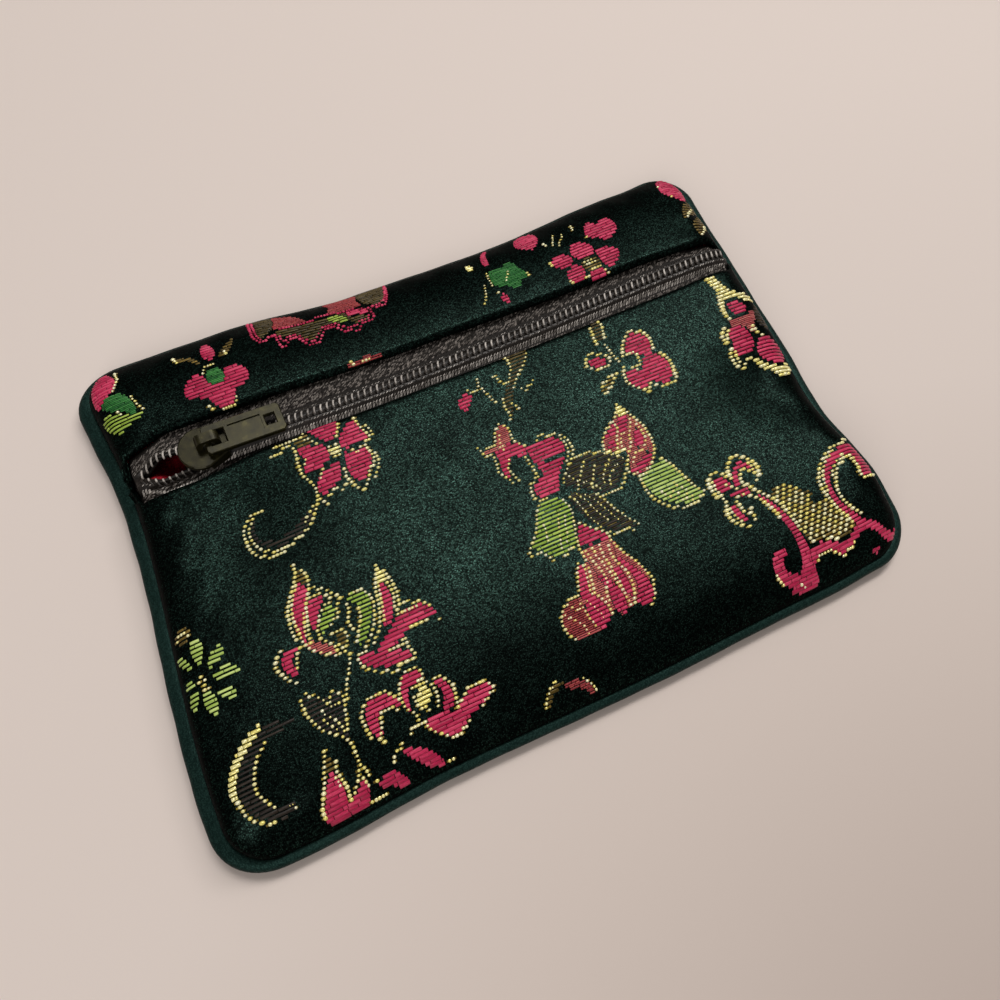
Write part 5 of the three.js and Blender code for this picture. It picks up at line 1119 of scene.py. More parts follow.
# Lines of pink points round the scalloped flower
PINK_LINES = (
    Line(0.85, ((-28.4, 42), (-28.6, 39), (-28.5, 36.6), (-27.9, 35.4), (-27, 35.2), (-26.2, 35.8),
        (-25.2, 36))),
    Line(0.8, ((-27.9, 41), (-27.9, 38), (-27.8, 36.4), (-27.3, 35.7))),
    Line(0.85, ((-25, 35.8), (-24.9, 34), (-24.9, 32.9), (-24, 32.8), (-23.4, 33.4), (-22.6, 34),
        (-21.8, 34), (-21.2, 32.8), (-20.6, 31.7), (-19.4, 31.3), (-18.4, 31.6), (-17.8, 32.6),
        (-17, 33.6), (-16, 34.2), (-15, 33.9), (-14.4, 32.8), (-13.6, 32), (-12.4, 31.7), (-11.2, 31.6),
        (-10.6, 32.4), (-9.4, 32.6), (-8.4, 32.8), (-7.9, 34), (-8.2, 35), (-7.4, 35.6), (-6.4, 35.2),
        (-5.2, 35.4), (-4.4, 36.6), (-3.8, 38.6), (-3.2, 41.8))),
    Line(0.8, ((-24.4, 35.4), (-24.2, 33.8), (-23.6, 34.2), (-22.6, 34.7), (-21.4, 34.2), (-20.6, 32.8),
        (-19.6, 32.1), (-18.8, 32.4), (-18, 33.4), (-17.2, 34.4), (-16, 34.9), (-14.6, 34.4),
        (-13.8, 33.4), (-12.6, 32.6), (-11.6, 32.6), (-10.6, 33.2), (-9.2, 33.3), (-8.6, 34))),
    Line(0.8, ((-24.8, 37.4), (-22.6, 37.2), (-20.6, 36.9), (-19, 36.8), (-17.4, 37.4), (-15.8, 37.8),
        (-14.2, 37.4), (-12.4, 37.2), (-10.6, 36.8), (-9.2, 36.2), (-7.6, 35.8), (-6.2, 36), (-5, 36.6),
        (-4.3, 38), (-3.8, 40))),
)

# The basket's woven part, beaded all over
BASKET_WEAVE = (
    (37.6, -25.6), (38.8, -24.2), (40.3, -24.4), (41.8, -25.4), (42.9, -27), (44, -27.8), (43, -29),
    (44.4, -29.8), (45.8, -29.6), (46.3, -31.4), (47.2, -33.3), (48.2, -35), (46.6, -36), (44.6, -35.9),
    (43, -35), (41, -34.7), (39.6, -34.6), (39.4, -32), (39, -29), (38.5, -27),
)

# Weft rows lie at even steps along the cloth, so they crowd where it turns down at the edges
ROW_PITCH = 0.66
EDGE_CLEAR = 0.02
MEASURE_STEPS = 4000
ZIP_CLEAR = 5
BELOW_ZIP = 14.0
fine_y = np.linspace(EDGE_CLEAR - HALF_Y, HALF_Y - EDGE_CLEAR, MEASURE_STEPS)
off_zip = np.where(np.abs(fine_y - ZIP_MIDDLE) < ZIP_CLEAR, BELOW_ZIP, fine_y)
fine_z = front_surface(np.zeros_like(fine_y), off_zip)[:, 2]
cloth_run = np.concatenate([[0.0], np.cumsum(np.hypot(np.diff(fine_y), np.diff(fine_z)))])
row_middles = (np.arange(int(cloth_run[-1] / ROW_PITCH)) + 0.5) * ROW_PITCH
ROW_Y = np.interp(row_middles, cloth_run, fine_y)

OUTLINE_STEPS = 6
PATH_STEPS = 30


# A smooth line through the given points
def smooth_line(points, closed, steps):
    spots = np.array(points, float)
    if closed:
        spots = np.concatenate([spots[-1:], spots, spots[:2]])
    else:
        spots = np.concatenate([2 * spots[:1] - spots[1:2], spots, 2 * spots[-1:] - spots[-2:-1]])
    before, start, end, after = spots[:-3, None], spots[1:-2, None], spots[2:-1, None], spots[3:, None]
    t = (np.arange(steps) / steps)[None, :, None]
    bend = 2 * start + (end - before) * t + (2 * before - 5 * start + 4 * end - after) * t**2
    bend = bend + (3 * start - before - 3 * end + after) * t**3
    curve = (bend / 2).reshape(-1, 2)
    return curve if closed else np.concatenate([curve, spots[-2:-1]])


def crossings(outline, y):
    after = np.roll(outline, -1, axis=0)
    hit = (outline[:, 1] > y) != (after[:, 1] > y)
    share = (y - outline[hit, 1]) / (after[hit, 1] - outline[hit, 1])
    return np.sort(outline[hit, 0] + share * (after[hit, 0] - outline[hit, 0]))


# Stretches of the weft rows that lie inside an outline: row, start, end
def stretches(points):
    outline = smooth_line(points, True, OUTLINE_STEPS)
    for k in np.nonzero((ROW_Y > outline[:, 1].min()) & (ROW_Y < outline[:, 1].max()))[0]:
        places = crossings(outline, ROW_Y[k])
        for low, high in zip(places[::2], places[1::2]):
            yield k, low, high


# Spans of one row with the stretch between two places taken out
def without(spans, low, high):
    kept = []
    for start, end, yarn in spans:
        if start < low:
            kept.append((start, min(end, low), yarn))
        if end > high:
            kept.append((max(start, high), end, yarn))
    return kept


def chart_rows(fills):
    rows = [[] for _ in ROW_Y]
    for fill in fills:
        for k, low, high in stretches(fill.points):
            rows[k] = without(rows[k], low, high)
            rows[k].append((low, high, fill.yarn))
    return rows


# A random value between two limits, or an array of them
def between(limits, count=None):
    return rng.uniform(*limits, count)


SHORTEST = 0.3
BINDING = 0.02
BINDING_STAGGER = 0.382
BINDING_STRAY = (-0.15, 0.15)
BINDING_FROM_END = 0.35
FLOAT_TONE = (0.35, 0.8)


# Each span is caught down at staggered binding points, which part it into floats
def cut_floats(rows):
    floats = {yarn: [] for yarn in YARNS}
    for k, spans in enumerate(rows):
        for low, high, yarn in spans:
            if high - low < SHORTEST:
                continue
            step = YARNS[yarn].length
            strands = YARNS[yarn].strands
            for strand in range(strands):
                y = ROW_Y[k] + ROW_PITCH * ((strand + 0.5) / strands - 0.5)
                shift = step * (BINDING_STAGGER * (strands * k + strand) % 1)
                first = math.floor((low - shift) / step)
                places = np.arange(first, math.ceil((high - shift) / step) + 1) * step + shift
                places = places + between(BINDING_STRAY, len(places)) * step
                inside = places[(places > low + BINDING_FROM_END) & (places < high - BINDING_FROM_END)]
                ends = np.concatenate([[low], inside, [high]])
                for start, end in zip(ends[:-1], ends[1:]):
                    floats[yarn].append((start + BINDING / 2, end - BINDING / 2, y, between(FLOAT_TONE)))
    return {yarn: np.array(spans) for yarn, spans in floats.items() if spans}


# Shape of a float: stations along it, the turned ends, its swell and its arch across
ALONG = np.array([0.0, 0.0, 0.35, 0.65, 1.0, 1.0])
END_STEP = np.array([0.0, 1.0, 0.0, 0.0, -1.0, 0.0])
END_LENGTH = 0.09
END_SHARE = 0.3
SWELL = np.array([0.0, 0.8, 1.0, 1.0, 0.8, 0.0])
ACROSS = np.array([-1.0, -0.72, 0.0, 0.72, 1.0])
ARCH = np.array([0.0, 0.7, 1.0, 0.7, 0.0])
FLOAT_WIDTH = (0.8, 1.04)
FLOAT_HEIGHT = (0.85, 1.15)
SUNK = 0.04
# Painted shade: the share of its tone a float keeps at its edges across the row, where it dips between the
# rows
EDGE_SHADE_TONE = 0.18


def float_shape(spans, width, height, lay):
    count = len(spans)
    full = (count, len(ALONG), len(ACROSS))
    reach = (spans[:, 1] - spans[:, 0])[:, None]
    turned = np.minimum(END_LENGTH, END_SHARE * reach)
    x = np.broadcast_to((spans[:, :1] + reach * ALONG + turned * END_STEP)[:, :, None], full)
    spread = width * between(FLOAT_WIDTH, count)
    y = np.broadcast_to(spans[:, 2][:, None, None] + ACROSS * spread[:, None, None] / 2, full)
    level = height * between(FLOAT_HEIGHT, count)
    h = level[:, None, None] * SWELL[None, :, None] * ARCH - SUNK
    points = lay(x, y, h).reshape(-1, 3)
    pattern = grid_faces(len(ALONG), len(ACROSS))
    each = len(ALONG) * len(ACROSS)
    faces = (np.arange(count)[:, None, None] * each + pattern).reshape(-1, 4)
    # Painted shade: each float darkens towards its edges across the row, where it dips down between the
    # rows
    shade = np.tile(EDGE_SHADE_TONE + (1 - EDGE_SHADE_TONE) * ARCH, len(ALONG))
    return points, faces.tolist(), (spans[:, 3][:, None] * shade).ravel()


BEAD_STEP = 0.66
BEAD_X = 0.33
BEAD_Y = 0.25
BEAD_HEIGHT = 0.28
BEAD_FILL = 0.46
BEAD_LONGEST = 0.62
BEAD_CELL = 0.42
BEAD_SCALE = (0.8, 1.2)
BEAD_STRAY = (-0.07, 0.07)
BEAD_TONE = (0.2, 1.0)


# Gold beads sit on the weft rows: one where a line crosses a row, several where it runs along one
def chart_beads(lines):
    beads = []
    taken = set()
    limits = (ROW_Y[:-1] + ROW_Y[1:]) / 2
    for line in lines:
        path = smooth_line(line.points, False, PATH_STEPS)
        row = np.searchsorted(limits, path[:, 1])
        breaks = np.nonzero(np.diff(row))[0] + 1
        for part in np.split(np.arange(len(path)), breaks):
            k = row[part[0]]
            low, high = path[part, 0].min(), path[part, 0].max()
            count = max(1, round((high - low) / (BEAD_STEP * line.size)))
            room = max(BEAD_X * line.size, BEAD_FILL * (high - low) / count)
            reach = min(room, BEAD_LONGEST * line.size)
            for x in low + (high - low) * (np.arange(count) + 0.5) / count:
                cell = (k, round(x / BEAD_CELL))
                if cell not in taken:
                    taken.add(cell)
                    scale = between(BEAD_SCALE)
                    tall = BEAD_Y * line.size**0.5 * scale
                    shift = between(BEAD_STRAY)
                    beads.append((x + shift, ROW_Y[k], reach * scale, tall, between(BEAD_TONE)))
    return np.array(beads)


CARRIER_OVER = (0.0, 0.2)
CARRIER_STRAY = (-0.12, 0.12)
CARRIER_TONE = (0.0, 0.7)


# The thread that carries the beads shows as a dull gold float under each of them
def carriers(beads):
    reach = beads[:, 2] + between(CARRIER_OVER, len(beads))
    shift = between(CARRIER_STRAY, len(beads))
    tone = between(CARRIER_TONE, len(beads))
    return np.stack([beads[:, 0] + shift - reach, beads[:, 0] + shift + reach, beads[:, 1], tone], -1)


# Thin pale threads that lie between the rows of the two dark leaves of the figure
HAIRLINES_FROM = 5.0
HAIRLINE_START = (0, 0.5)
HAIRLINE_LEAST = 0.5
HAIRLINE_LENGTH = (0.8, 3.0)
HAIRLINE_TONE = (0.2, 1.0)
HAIRLINE_GAP = (0.1, 0.5)
HAIRLINE_WIDTH = 0.12
HAIRLINE_HEIGHT = 0.1


def hairlines(rows):
    lines = []
    for k, spans in enumerate(rows):
        for low, high, yarn in spans:
            if yarn != "dark" or low < HAIRLINES_FROM:
                continue
            start = low + between(HAIRLINE_START)
            while start < high - HAIRLINE_LEAST:
                end = min(high, start + between(HAIRLINE_LENGTH))
                lines.append((start, end, ROW_Y[k] + ROW_PITCH / 2, between(HAIRLINE_TONE)))
                start = end + between(HAIRLINE_GAP)
    return np.array(lines)


# Beads all over the basket, each row shifted against the one below
BASKET_STEP = 1.2
BASKET_BEAD = 1.15
BASKET_SHIFT = 0.37
BASKET_TONE = (0.0, 0.9)


def bead_lattice(points):
    beads = []
    for k, low, high in stretches(points):
        shift = k * BASKET_SHIFT * BASKET_STEP
        first = math.ceil((low - shift) / BASKET_STEP)
        for x in np.arange(first, (high - shift) / BASKET_STEP) * BASKET_STEP + shift:
            beads.append((x, ROW_Y[k], BEAD_X * BASKET_BEAD, BEAD_Y * BASKET_BEAD, between(BASKET_TONE)))
    return np.array(beads)


# A bead is a low dome: rings of its share of the reach and of the height, under one top point
BEAD_SIDES = 8
BEAD_RINGS = ((1.0, 0.0), (0.82, 0.55), (0.42, 0.9))


def bead_shape(beads, lay):
    angle = np.arange(BEAD_SIDES) / BEAD_SIDES * 2 * math.pi
    ring_x = np.concatenate([[0.0]] + [share * np.cos(angle) for share, _ in BEAD_RINGS])
    ring_y = np.concatenate([[0.0]] + [share * np.sin(angle) for share, _ in BEAD_RINGS])
    ring_h = np.concatenate([[1.0]] + [np.full(BEAD_SIDES, level) for _, level in BEAD_RINGS])
    x = beads[:, :1] + beads[:, 2:3] * ring_x
    y = beads[:, 1:2] + beads[:, 3:4] * ring_y
    h = BEAD_HEIGHT * (beads[:, 3:4] / BEAD_Y) * ring_h - SUNK
    points = lay(x, y, h).reshape(-1, 3)
    each = 1 + BEAD_SIDES * len(BEAD_RINGS)
    side = np.arange(BEAD_SIDES)
    after = (side + 1) % BEAD_SIDES
    bands = []
    for ring in range(len(BEAD_RINGS) - 1):
        outer = 1 + ring * BEAD_SIDES
        inner = outer + BEAD_SIDES
        bands.append(np.stack([outer + side, outer + after, inner + after, inner + side], -1))
    last = 1 + (len(BEAD_RINGS) - 1) * BEAD_SIDES
    cap = np.stack([last + side, last + after, np.zeros(BEAD_SIDES, int)], -1)
    starts = np.arange(len(beads))[:, None, None] * each
    quads = (starts + np.concatenate(bands)).reshape(-1, 4).tolist()
    caps = (starts + cap).reshape(-1, 3).tolist()
    return points, quads + caps, np.repeat(beads[:, 4], each)


WINDOW_MARGIN = 0.25


def in_window(x, y):
    return (y > lookup(WINDOW_LOW, x) - WINDOW_MARGIN) & (y < lookup(WINDOW_HIGH, x) + WINDOW_MARGIN)


chart = chart_rows(FILLS)
floats = cut_floats(chart)
beads = np.concatenate([chart_beads(LINES), bead_lattice(BASKET_WEAVE)])
beads = beads[~in_window(beads[:, 0], beads[:, 1])]
pink_beads = chart_beads(PINK_LINES)
threads = carriers(beads)
thin_threads = hairlines(chart)
pieces = {}


def add_weave(name, shape, material):
    points, faces, tone = shape
    pieces[name] = add_mesh(name, points, faces, material, tone)


for place, lay in (("front", on_front), ("back", on_back)):
    for yarn_name, spans in floats.items():
        yarn = YARNS[yarn_name]
        shown = spans[~in_window((spans[:, 0] + spans[:, 1]) / 2, spans[:, 2])]
        add_weave(place + "_" + yarn_name, float_shape(shown, yarn.width, yarn.height, lay), yarn.material)
    carrier = YARNS["carrier"]
    add_weave(place + "_beads", bead_shape(beads, lay), YARNS["gold"].material)
    add_weave(place + "_pink_beads", bead_shape(pink_beads, lay), YARNS["pink"].material)
    thread_shape = float_shape(threads, carrier.width, carrier.height, lay)
    add_weave(place + "_carriers", thread_shape, carrier.material)
    thin_shape = float_shape(thin_threads, HAIRLINE_WIDTH, HAIRLINE_HEIGHT, lay)
    add_weave(place + "_hairlines", thin_shape, YARNS["bronze"].material)

# Panels
front_panel = add_mesh("front_cloth", *cloth_wall(front_grid(False, FRONT_ROWS), CLOTH), ground_satin)
front_strip = add_mesh("strip_cloth", *cloth_wall(front_grid(True, STRIP_ROWS), CLOTH), ground_satin)
back_panel = add_mesh("back_cloth", *cloth_wall(back_grid()[::-1], CLOTH), ground_satin)

CORNER_STEPS = 40


# Piping: the seam line with its corners, walked round at even steps
def seam_line(count):
    corners = (
        (1, 1, ROLL_RIGHT, ROLL_TOP, 0),
        (-1, 1, ROLL_LEFT, ROLL_TOP, 1),
        (-1, -1, ROLL_LEFT, ROLL_BOTTOM, 2),
        (1, -1, ROLL_RIGHT, ROLL_BOTTOM, 3),
    )
    path = []
    for side_x, side_y, roll_x, roll_y, quarter in corners:
        angle = (quarter + np.linspace(0, 1, CORNER_STEPS)) * math.pi / 2
        x = side_x * (HALF_X - roll_x) + (roll_x + RIM_STAND) * np.cos(angle)
        y = side_y * (HALF_Y - roll_y) + (roll_y + RIM_STAND) * np.sin(angle)
        path.append(np.stack([x, y], -1))
    ring = np.concatenate(path + [path[0][:1]])
    run = np.concatenate([[0.0], np.cumsum(np.linalg.norm(np.diff(ring, axis=0), axis=1))])
    at = np.arange(count) / count * run[-1]
    x = np.interp(at, run, ring[:, 0])
    y = np.interp(at, run, ring[:, 1])
    return np.stack(bowed(x, y), -1)


# The cord is pressed broad along the two short sides
BROAD_LEFT = 0.55
BROAD_RIGHT = 0.32


def tube(line, radius, sides, level):
    along = np.roll(line, -1, axis=0) - np.roll(line, 1, axis=0)
    along /= np.linalg.norm(along, axis=1, keepdims=True)
    outward = along[:, 1:]
    broad = np.where(outward < 0, BROAD_LEFT, BROAD_RIGHT) * outward**2
    angle = np.arange(sides) / sides * 2 * math.pi
    out = radius * (np.cos(angle) + broad * (1 + np.cos(angle)))
    x = line[:, :1] + along[:, 1:] * out
    y = line[:, 1:] - along[:, :1] * out
    z = np.broadcast_to(level + radius * np.sin(angle), x.shape)
    count = len(line)
    corner = np.arange(count * sides).reshape(count, sides)
    ahead = np.roll(corner, -1, axis=0)
    quads = np.stack([corner, ahead, np.roll(ahead, -1, axis=1), np.roll(corner, -1, axis=1)], -1)
    return np.stack([x, y, z], -1).reshape(-1, 3), quads.reshape(-1, 4).tolist()


# Creases wind round the cord, over slower swells along it
PIPING_COUNT = 520
PIPING_SIDES = 20
PIPING_SHRINK = 0.02
CREASE_DEPTH = 0.018
CREASE_ALONG = 0.55
CREASE_ROUND = 0.6
SWELL_DEPTH = 0.015
SWELL_ALONG = 0.23
wrinkle = np.arange(PIPING_COUNT)[:, None]
turn = np.arange(PIPING_SIDES)[None, :]
creases = CREASE_DEPTH * np.sin(wrinkle * CREASE_ALONG + turn * CREASE_ROUND)
creases = creases + SWELL_DEPTH * np.sin(wrinkle * SWELL_ALONG)
cord_radius = PIPING_RADIUS * (1 + creases) - PIPING_SHRINK
cord = tube(seam_line(PIPING_COUNT), cord_radius, PIPING_SIDES, SEAM_Z)
piping = add_mesh("piping_cord", *cord, piping_satin)


# The zip dips under the cloth at both ends
def zip_dip(x):
    reach = np.clip((ZIP_HALF - np.abs(x)) / ZIP_DIP_LENGTH, 0, 1)
    return ZIP_DIP * (1 - np.sqrt(1 - (1 - reach) ** 2))


# The lining hangs clear of the cloth and the tape, and bulges up at the zip's open end
LINING_GAP = 0.5
LINING_UNDER_TAPE = 1.2
LINING_LOW_FROM = 48
LINING_BULGE = 5.9
BULGE_X = -54.2
BULGE_Y = 18.0
BULGE_REACH_X = 3.4
BULGE_REACH_Y = 3.0
LINING_BACK_ROWS = 30
LINING_FRONT_ROWS = 16
LINING_STRIP_ROWS = 6


# Lining: a pouch that follows the panels from inside, open along the zip
def lining_grid(upper, above_zip, row_steps):
    inset = LINING_INSET
    column_at, column_turn = column_stations(inset)
    lines = []
    for at_x, turn_x in zip(column_at, column_turn):
        low, high = inset - HALF_Y, HALF_Y - inset
        if upper and above_zip:
            low = float(lookup(WINDOW_HIGH, at_x)) + LINING_TUCK
        if upper and not above_zip:
            high = float(lookup(WINDOW_LOW, at_x)) - LINING_TUCK
        rolls = (ROLL_BOTTOM - inset, ROLL_TOP - inset)
        at_y, turn_y = stations(low, high, *rolls, ROLL_STEPS, row_steps)
        if upper and above_zip:
            turn_y = np.where(turn_y < 0, 0, turn_y)
        if upper and not above_zip:
            turn_y = np.where(turn_y > 0, 0, turn_y)
        turn_x = np.full_like(at_y, turn_x)
        x, y = shell_plan(np.full_like(at_y, at_x), turn_x, at_y, turn_y, inset)
        share = np.sqrt((1 - turn_x**2) * (1 - turn_y**2))
        if upper:
            z = SEAM_Z + (front_top(x, y) - inset - LINING_GAP - SEAM_Z) * share
            under = np.minimum(z, TAPE_TOP - zip_dip(x) - LINING_UNDER_TAPE)
            z = np.where(np.abs(x) > LINING_LOW_FROM, under, z)
        else:
            off_x = (x - BULGE_X) / BULGE_REACH_X
            off_y = (y - BULGE_Y) / BULGE_REACH_Y
            bulge = LINING_BULGE * np.exp(-(off_x**2) - off_y**2)
            z = SEAM_Z - (SEAM_Z - inset - bulge) * share
        lines.append(np.stack([*bowed(x, y), z], -1))
    return np.stack(lines)


pouch = [
    cloth_wall(lining_grid(False, False, LINING_BACK_ROWS)[::-1], LINING_CLOTH),
    cloth_wall(lining_grid(True, False, LINING_FRONT_ROWS), LINING_CLOTH),
    cloth_wall(lining_grid(True, True, LINING_STRIP_ROWS), LINING_CLOTH),
]
lining = add_mesh("lining_pouch", *joined(pouch), lining_red)


# Zip: the two rows of the chain part beside the slider
def row_parting(x):
    return lookup(ROW_PARTING, x - SLIDER_X)


# Place on a tape, from its edge at the chain to its tucked edge, which narrows at the ends of the zip
TAPE_NARROW_FROM = 48.5
TAPE_NARROW_LENGTH = 2.3
TAPE_END_TUCK = 0.3
TAPE_COLUMNS = 260
TAPE_LINES = 15
TAPE_SINK = -0.05


def on_tape(x, share, side, height):
    narrow = np.clip((np.abs(x) - TAPE_NARROW_FROM) / TAPE_NARROW_LENGTH, 0, 1)
    tuck = TAPE_TUCK - (TAPE_TUCK - TAPE_END_TUCK) * narrow
    inner = lookup(CHAIN_LINE, x) + side * (TAPE_SLIT + row_parting(x))
    outer = lookup(WINDOW_HIGH if side > 0 else WINDOW_LOW, x) + side * tuck
    y = inner + (outer - inner) * share
    return np.stack([*bowed(x, y), TAPE_TOP - zip_dip(x) + height], -1)


def tape_shape(side):
    x = np.linspace(-ZIP_HALF, ZIP_HALF, TAPE_COLUMNS)[:, None]
    share = np.linspace(0, 1, TAPE_LINES)[None, :]
    x, share = np.broadcast_arrays(x, share)
    grid = on_tape(x, share, side, np.full(x.shape, TAPE_SINK))
    if side < 0:
        grid = grid[:, ::-1]
    return cloth_wall(grid, TAPE_THICK)


TAPE_STOPS = ((0.1, colour(14, 11, 10)), (0.5, colour(41, 37, 34)), (1.0, colour(130, 123, 117)))
COIL_STOPS = ((0.15, colour(9, 7, 6)), (0.55, colour(60, 54, 49)), (1.0, colour(214, 207, 199)))
tape_cloth = yarn_material("zip_tape_cloth", TAPE_STOPS, gloss=0.6, metal=0.0, shine=0.12)
coil_thread = yarn_material("zip_coil_thread", COIL_STOPS, gloss=0.35, metal=0.0)

STITCH_ALONG = np.array([-0.5, -0.32, 0.0, 0.32, 0.5])
STITCH_SWELL = np.array([0.0, 0.85, 1.0, 0.85, 0.0])
STITCH_ACROSS = np.array([-0.5, 0.0, 0.5])
STITCH_ARCH = np.array([0.0, 1.0, 0.0])
STITCH_TONE = (0.0, 1.0)
STITCH_TONE_POWER = 1.2


# Short stitches: each runs its length along the zip and climbs away from the chain by its slant
def stitch_shape(at, across, length, slant, width, height, side, lay):
    full = (len(at), len(STITCH_ALONG), len(STITCH_ACROSS))
    run = STITCH_ALONG[None, :, None]
    x = np.broadcast_to(at[:, None, None] + length * run, full)
    out = across[:, None, None] + slant * run + width * STITCH_ACROSS
    h = np.broadcast_to(height * STITCH_SWELL[None, :, None] * STITCH_ARCH - SUNK, full)
    pattern = grid_faces(full[1], full[2])
    if side < 0:
        pattern = pattern[:, ::-1]
    each = full[1] * full[2]
    faces = (np.arange(len(at))[:, None, None] * each + pattern).reshape(-1, 4)
    tone = np.repeat(between(STITCH_TONE, len(at)) ** STITCH_TONE_POWER, each)
    return lay(x, out, h).reshape(-1, 3), faces, tone


# Fine twill all over a tape, in lanes along it
TWILL_FIRST = 0.7
TWILL_LAST = 5.6
TWILL_LANE = 0.27
TWILL_PITCH = 0.46
TWILL_STRAY = (-0.1, 0.1)
TWILL_LEAN = 0.24
TWILL_LENGTH = 0.46
TWILL_SLANT = 0.2
TWILL_WIDTH = 0.23
TWILL_HEIGHT = 0.13
TWILL_UNDER_CLOTH = 0.5
TWILL_FROM_END = 0.6
TWILL_FROM_BRAID = 0.3
TWILL_OPEN_START = 0.8
PARTED_FROM = 0.1


def tape_stitches(side):
    edge = WINDOW_HIGH if side > 0 else WINDOW_LOW
    lanes = np.arange(TWILL_FIRST, TWILL_LAST, TWILL_LANE)
    at = np.arange(-ZIP_HALF, ZIP_HALF, TWILL_PITCH)
    lane, place = np.meshgrid(lanes, at, indexing="ij")
    place = (place + between(TWILL_STRAY, place.shape) + TWILL_LEAN * lane).ravel()
    lane = lane.ravel()

    def tape_width(x, tuck):
        return np.abs(lookup(edge, x) - lookup(CHAIN_LINE, x)) - row_parting(x) + tuck

    def lay(x, out, height):
        return on_tape(x, out / tape_width(x, TAPE_TUCK), side, height)

    parted = row_parting(place) > PARTED_FROM
    start = braid_reach(place, side) * np.where(parted, TWILL_OPEN_START, 1)
    start = start + np.where(parted, 0, TWILL_FROM_BRAID)
    shown = (lane < tape_width(place, TWILL_UNDER_CLOTH)) & (lane > start)
    shown &= np.abs(place) < ZIP_HALF - TWILL_FROM_END
    sizes = (TWILL_LENGTH, side * TWILL_SLANT, TWILL_WIDTH, TWILL_HEIGHT)
    return stitch_shape(place[shown], lane[shown], *sizes, side, lay)


# A dark braid covers the legs of the loops and slopes down to the tape
BRAID_REACH = {1: 1.75, -1: 2.35}
BRAID_LIFT = ((0, 0.72), (0.3, 0.84), (0.42, 1.2), (0.6, 1.12), (0.8, 0.75), (1, 0.0))
BRAID_DRAWN_IN = 0.33
BRAID_COLUMNS = 260
BRAID_LINES = 16
BRAID_TONE = 0.05
BRAID_FROM_END = 0.6
BRAID_STRAY = (-0.06, 0.06)
BRAID_STITCH = 0.5
BRAID_SLANT = 0.22
BRAID_HEIGHT = 0.14


def braid_reach(x, side):
    return BRAID_REACH[side] * (1 - BRAID_DRAWN_IN * row_parting(x))


def on_braid(x, out, side, height):
    y = lookup(CHAIN_LINE, x) + side * (out + row_parting(x))
    slope = lookup(BRAID_LIFT, out / braid_reach(x, side))
    return np.stack([*bowed(x, y), TAPE_TOP + slope - zip_dip(x) + height], -1)


def braid_shape(side):
    at = np.linspace(-COIL_HALF, COIL_HALF, BRAID_COLUMNS)
    x, share = np.meshgrid(at, np.linspace(0, 1, BRAID_LINES), indexing="ij")
    points = on_braid(x, share * braid_reach(x, side), side, np.zeros(x.shape)).reshape(-1, 3)
    faces = grid_faces(*x.shape)
    return points, faces if side > 0 else faces[:, ::-1], np.full(len(points), BRAID_TONE)


def braid_stitches(side, out, width, palest):
    at = np.arange(BRAID_FROM_END - COIL_HALF, COIL_HALF - BRAID_FROM_END, COIL_PITCH / 2)
    at = at + between(BRAID_STRAY, len(at))

    def lay(x, across, height):
        return on_braid(x, across, side, height)

    sizes = (BRAID_STITCH, side * BRAID_SLANT, width, BRAID_HEIGHT)
    points, faces, tone = stitch_shape(at, np.full(len(at), out), *sizes, side, lay)
    return points, faces, palest + (1 - palest) * tone


# One row of the chain: a flat spiral of thread. Painted highlight: its loops are palest where they meet
# those of the other row and fade along their legs. Painted shade: the lower row is darker where the chain
# is closed
COIL_STEPS = 18
COIL_SIDES = 7
COIL_LEAN = 0.18
COIL_TONE = (0.55, 0.95)
COIL_LOWER_SHADE = 0.35
COIL_OPEN_FROM = 0.4
COIL_HIGHLIGHT_TO = 1.0
COIL_HIGHLIGHT_FADE = 0.4
COIL_LEAST_TONE = 0.1


def coil_shape(side):
    turns = int(2 * COIL_HALF / COIL_PITCH)
    angle = np.arange(turns * COIL_STEPS + 1) / COIL_STEPS * 2 * math.pi
    phase = 0.0 if side > 0 else COIL_PITCH / 2
    x = COIL_HALF - phase / 2 - angle / (2 * math.pi) * COIL_PITCH - COIL_LEAN * np.sin(angle)
    out = COIL_MIDDLE[side] + COIL_REACH * np.cos(angle)
    y = lookup(CHAIN_LINE, x) + side * (out + row_parting(x))
    z = COIL_LEVEL + COIL_RISE * np.sin(angle) - zip_dip(x)
    middle = np.stack([*bowed(x, y), z], -1)
    along = np.gradient(middle, axis=0)
    along /= np.linalg.norm(along, axis=1, keepdims=True)
    first = np.cross(along, np.array([1.0, 0.0, 0.0]))
    first /= np.linalg.norm(first, axis=1, keepdims=True)
    second = np.cross(along, first)
    round_angle = np.arange(COIL_SIDES) / COIL_SIDES * 2 * math.pi
    ring = first[:, None] * np.cos(round_angle)[None, :, None]
    ring = ring + second[:, None] * np.sin(round_angle)[None, :, None]
    points = middle[:, None] + COIL_WIRE * ring
    corner = np.arange(points.shape[0] * COIL_SIDES).reshape(-1, COIL_SIDES)
    beside = np.roll(corner, -1, axis=1)
    quads = np.stack([corner[:-1], beside[:-1], beside[1:], corner[1:]], -1).reshape(-1, 4)
    each = between(COIL_TONE, turns + 1)[np.arange(len(x)) // COIL_STEPS]
    # Painted shade: the lower row is darker while the chain is closed
    palest = np.maximum(COIL_LOWER_SHADE if side < 0 else 1.0, row_parting(x) > COIL_OPEN_FROM)
    # Painted highlight: pale near the chain line, fading along the legs of the loops
    tone = each * palest * np.clip((COIL_HIGHLIGHT_TO - out) / COIL_HIGHLIGHT_FADE, COIL_LEAST_TONE, 1)
    return points.reshape(-1, 3), quads, np.repeat(tone, COIL_SIDES)


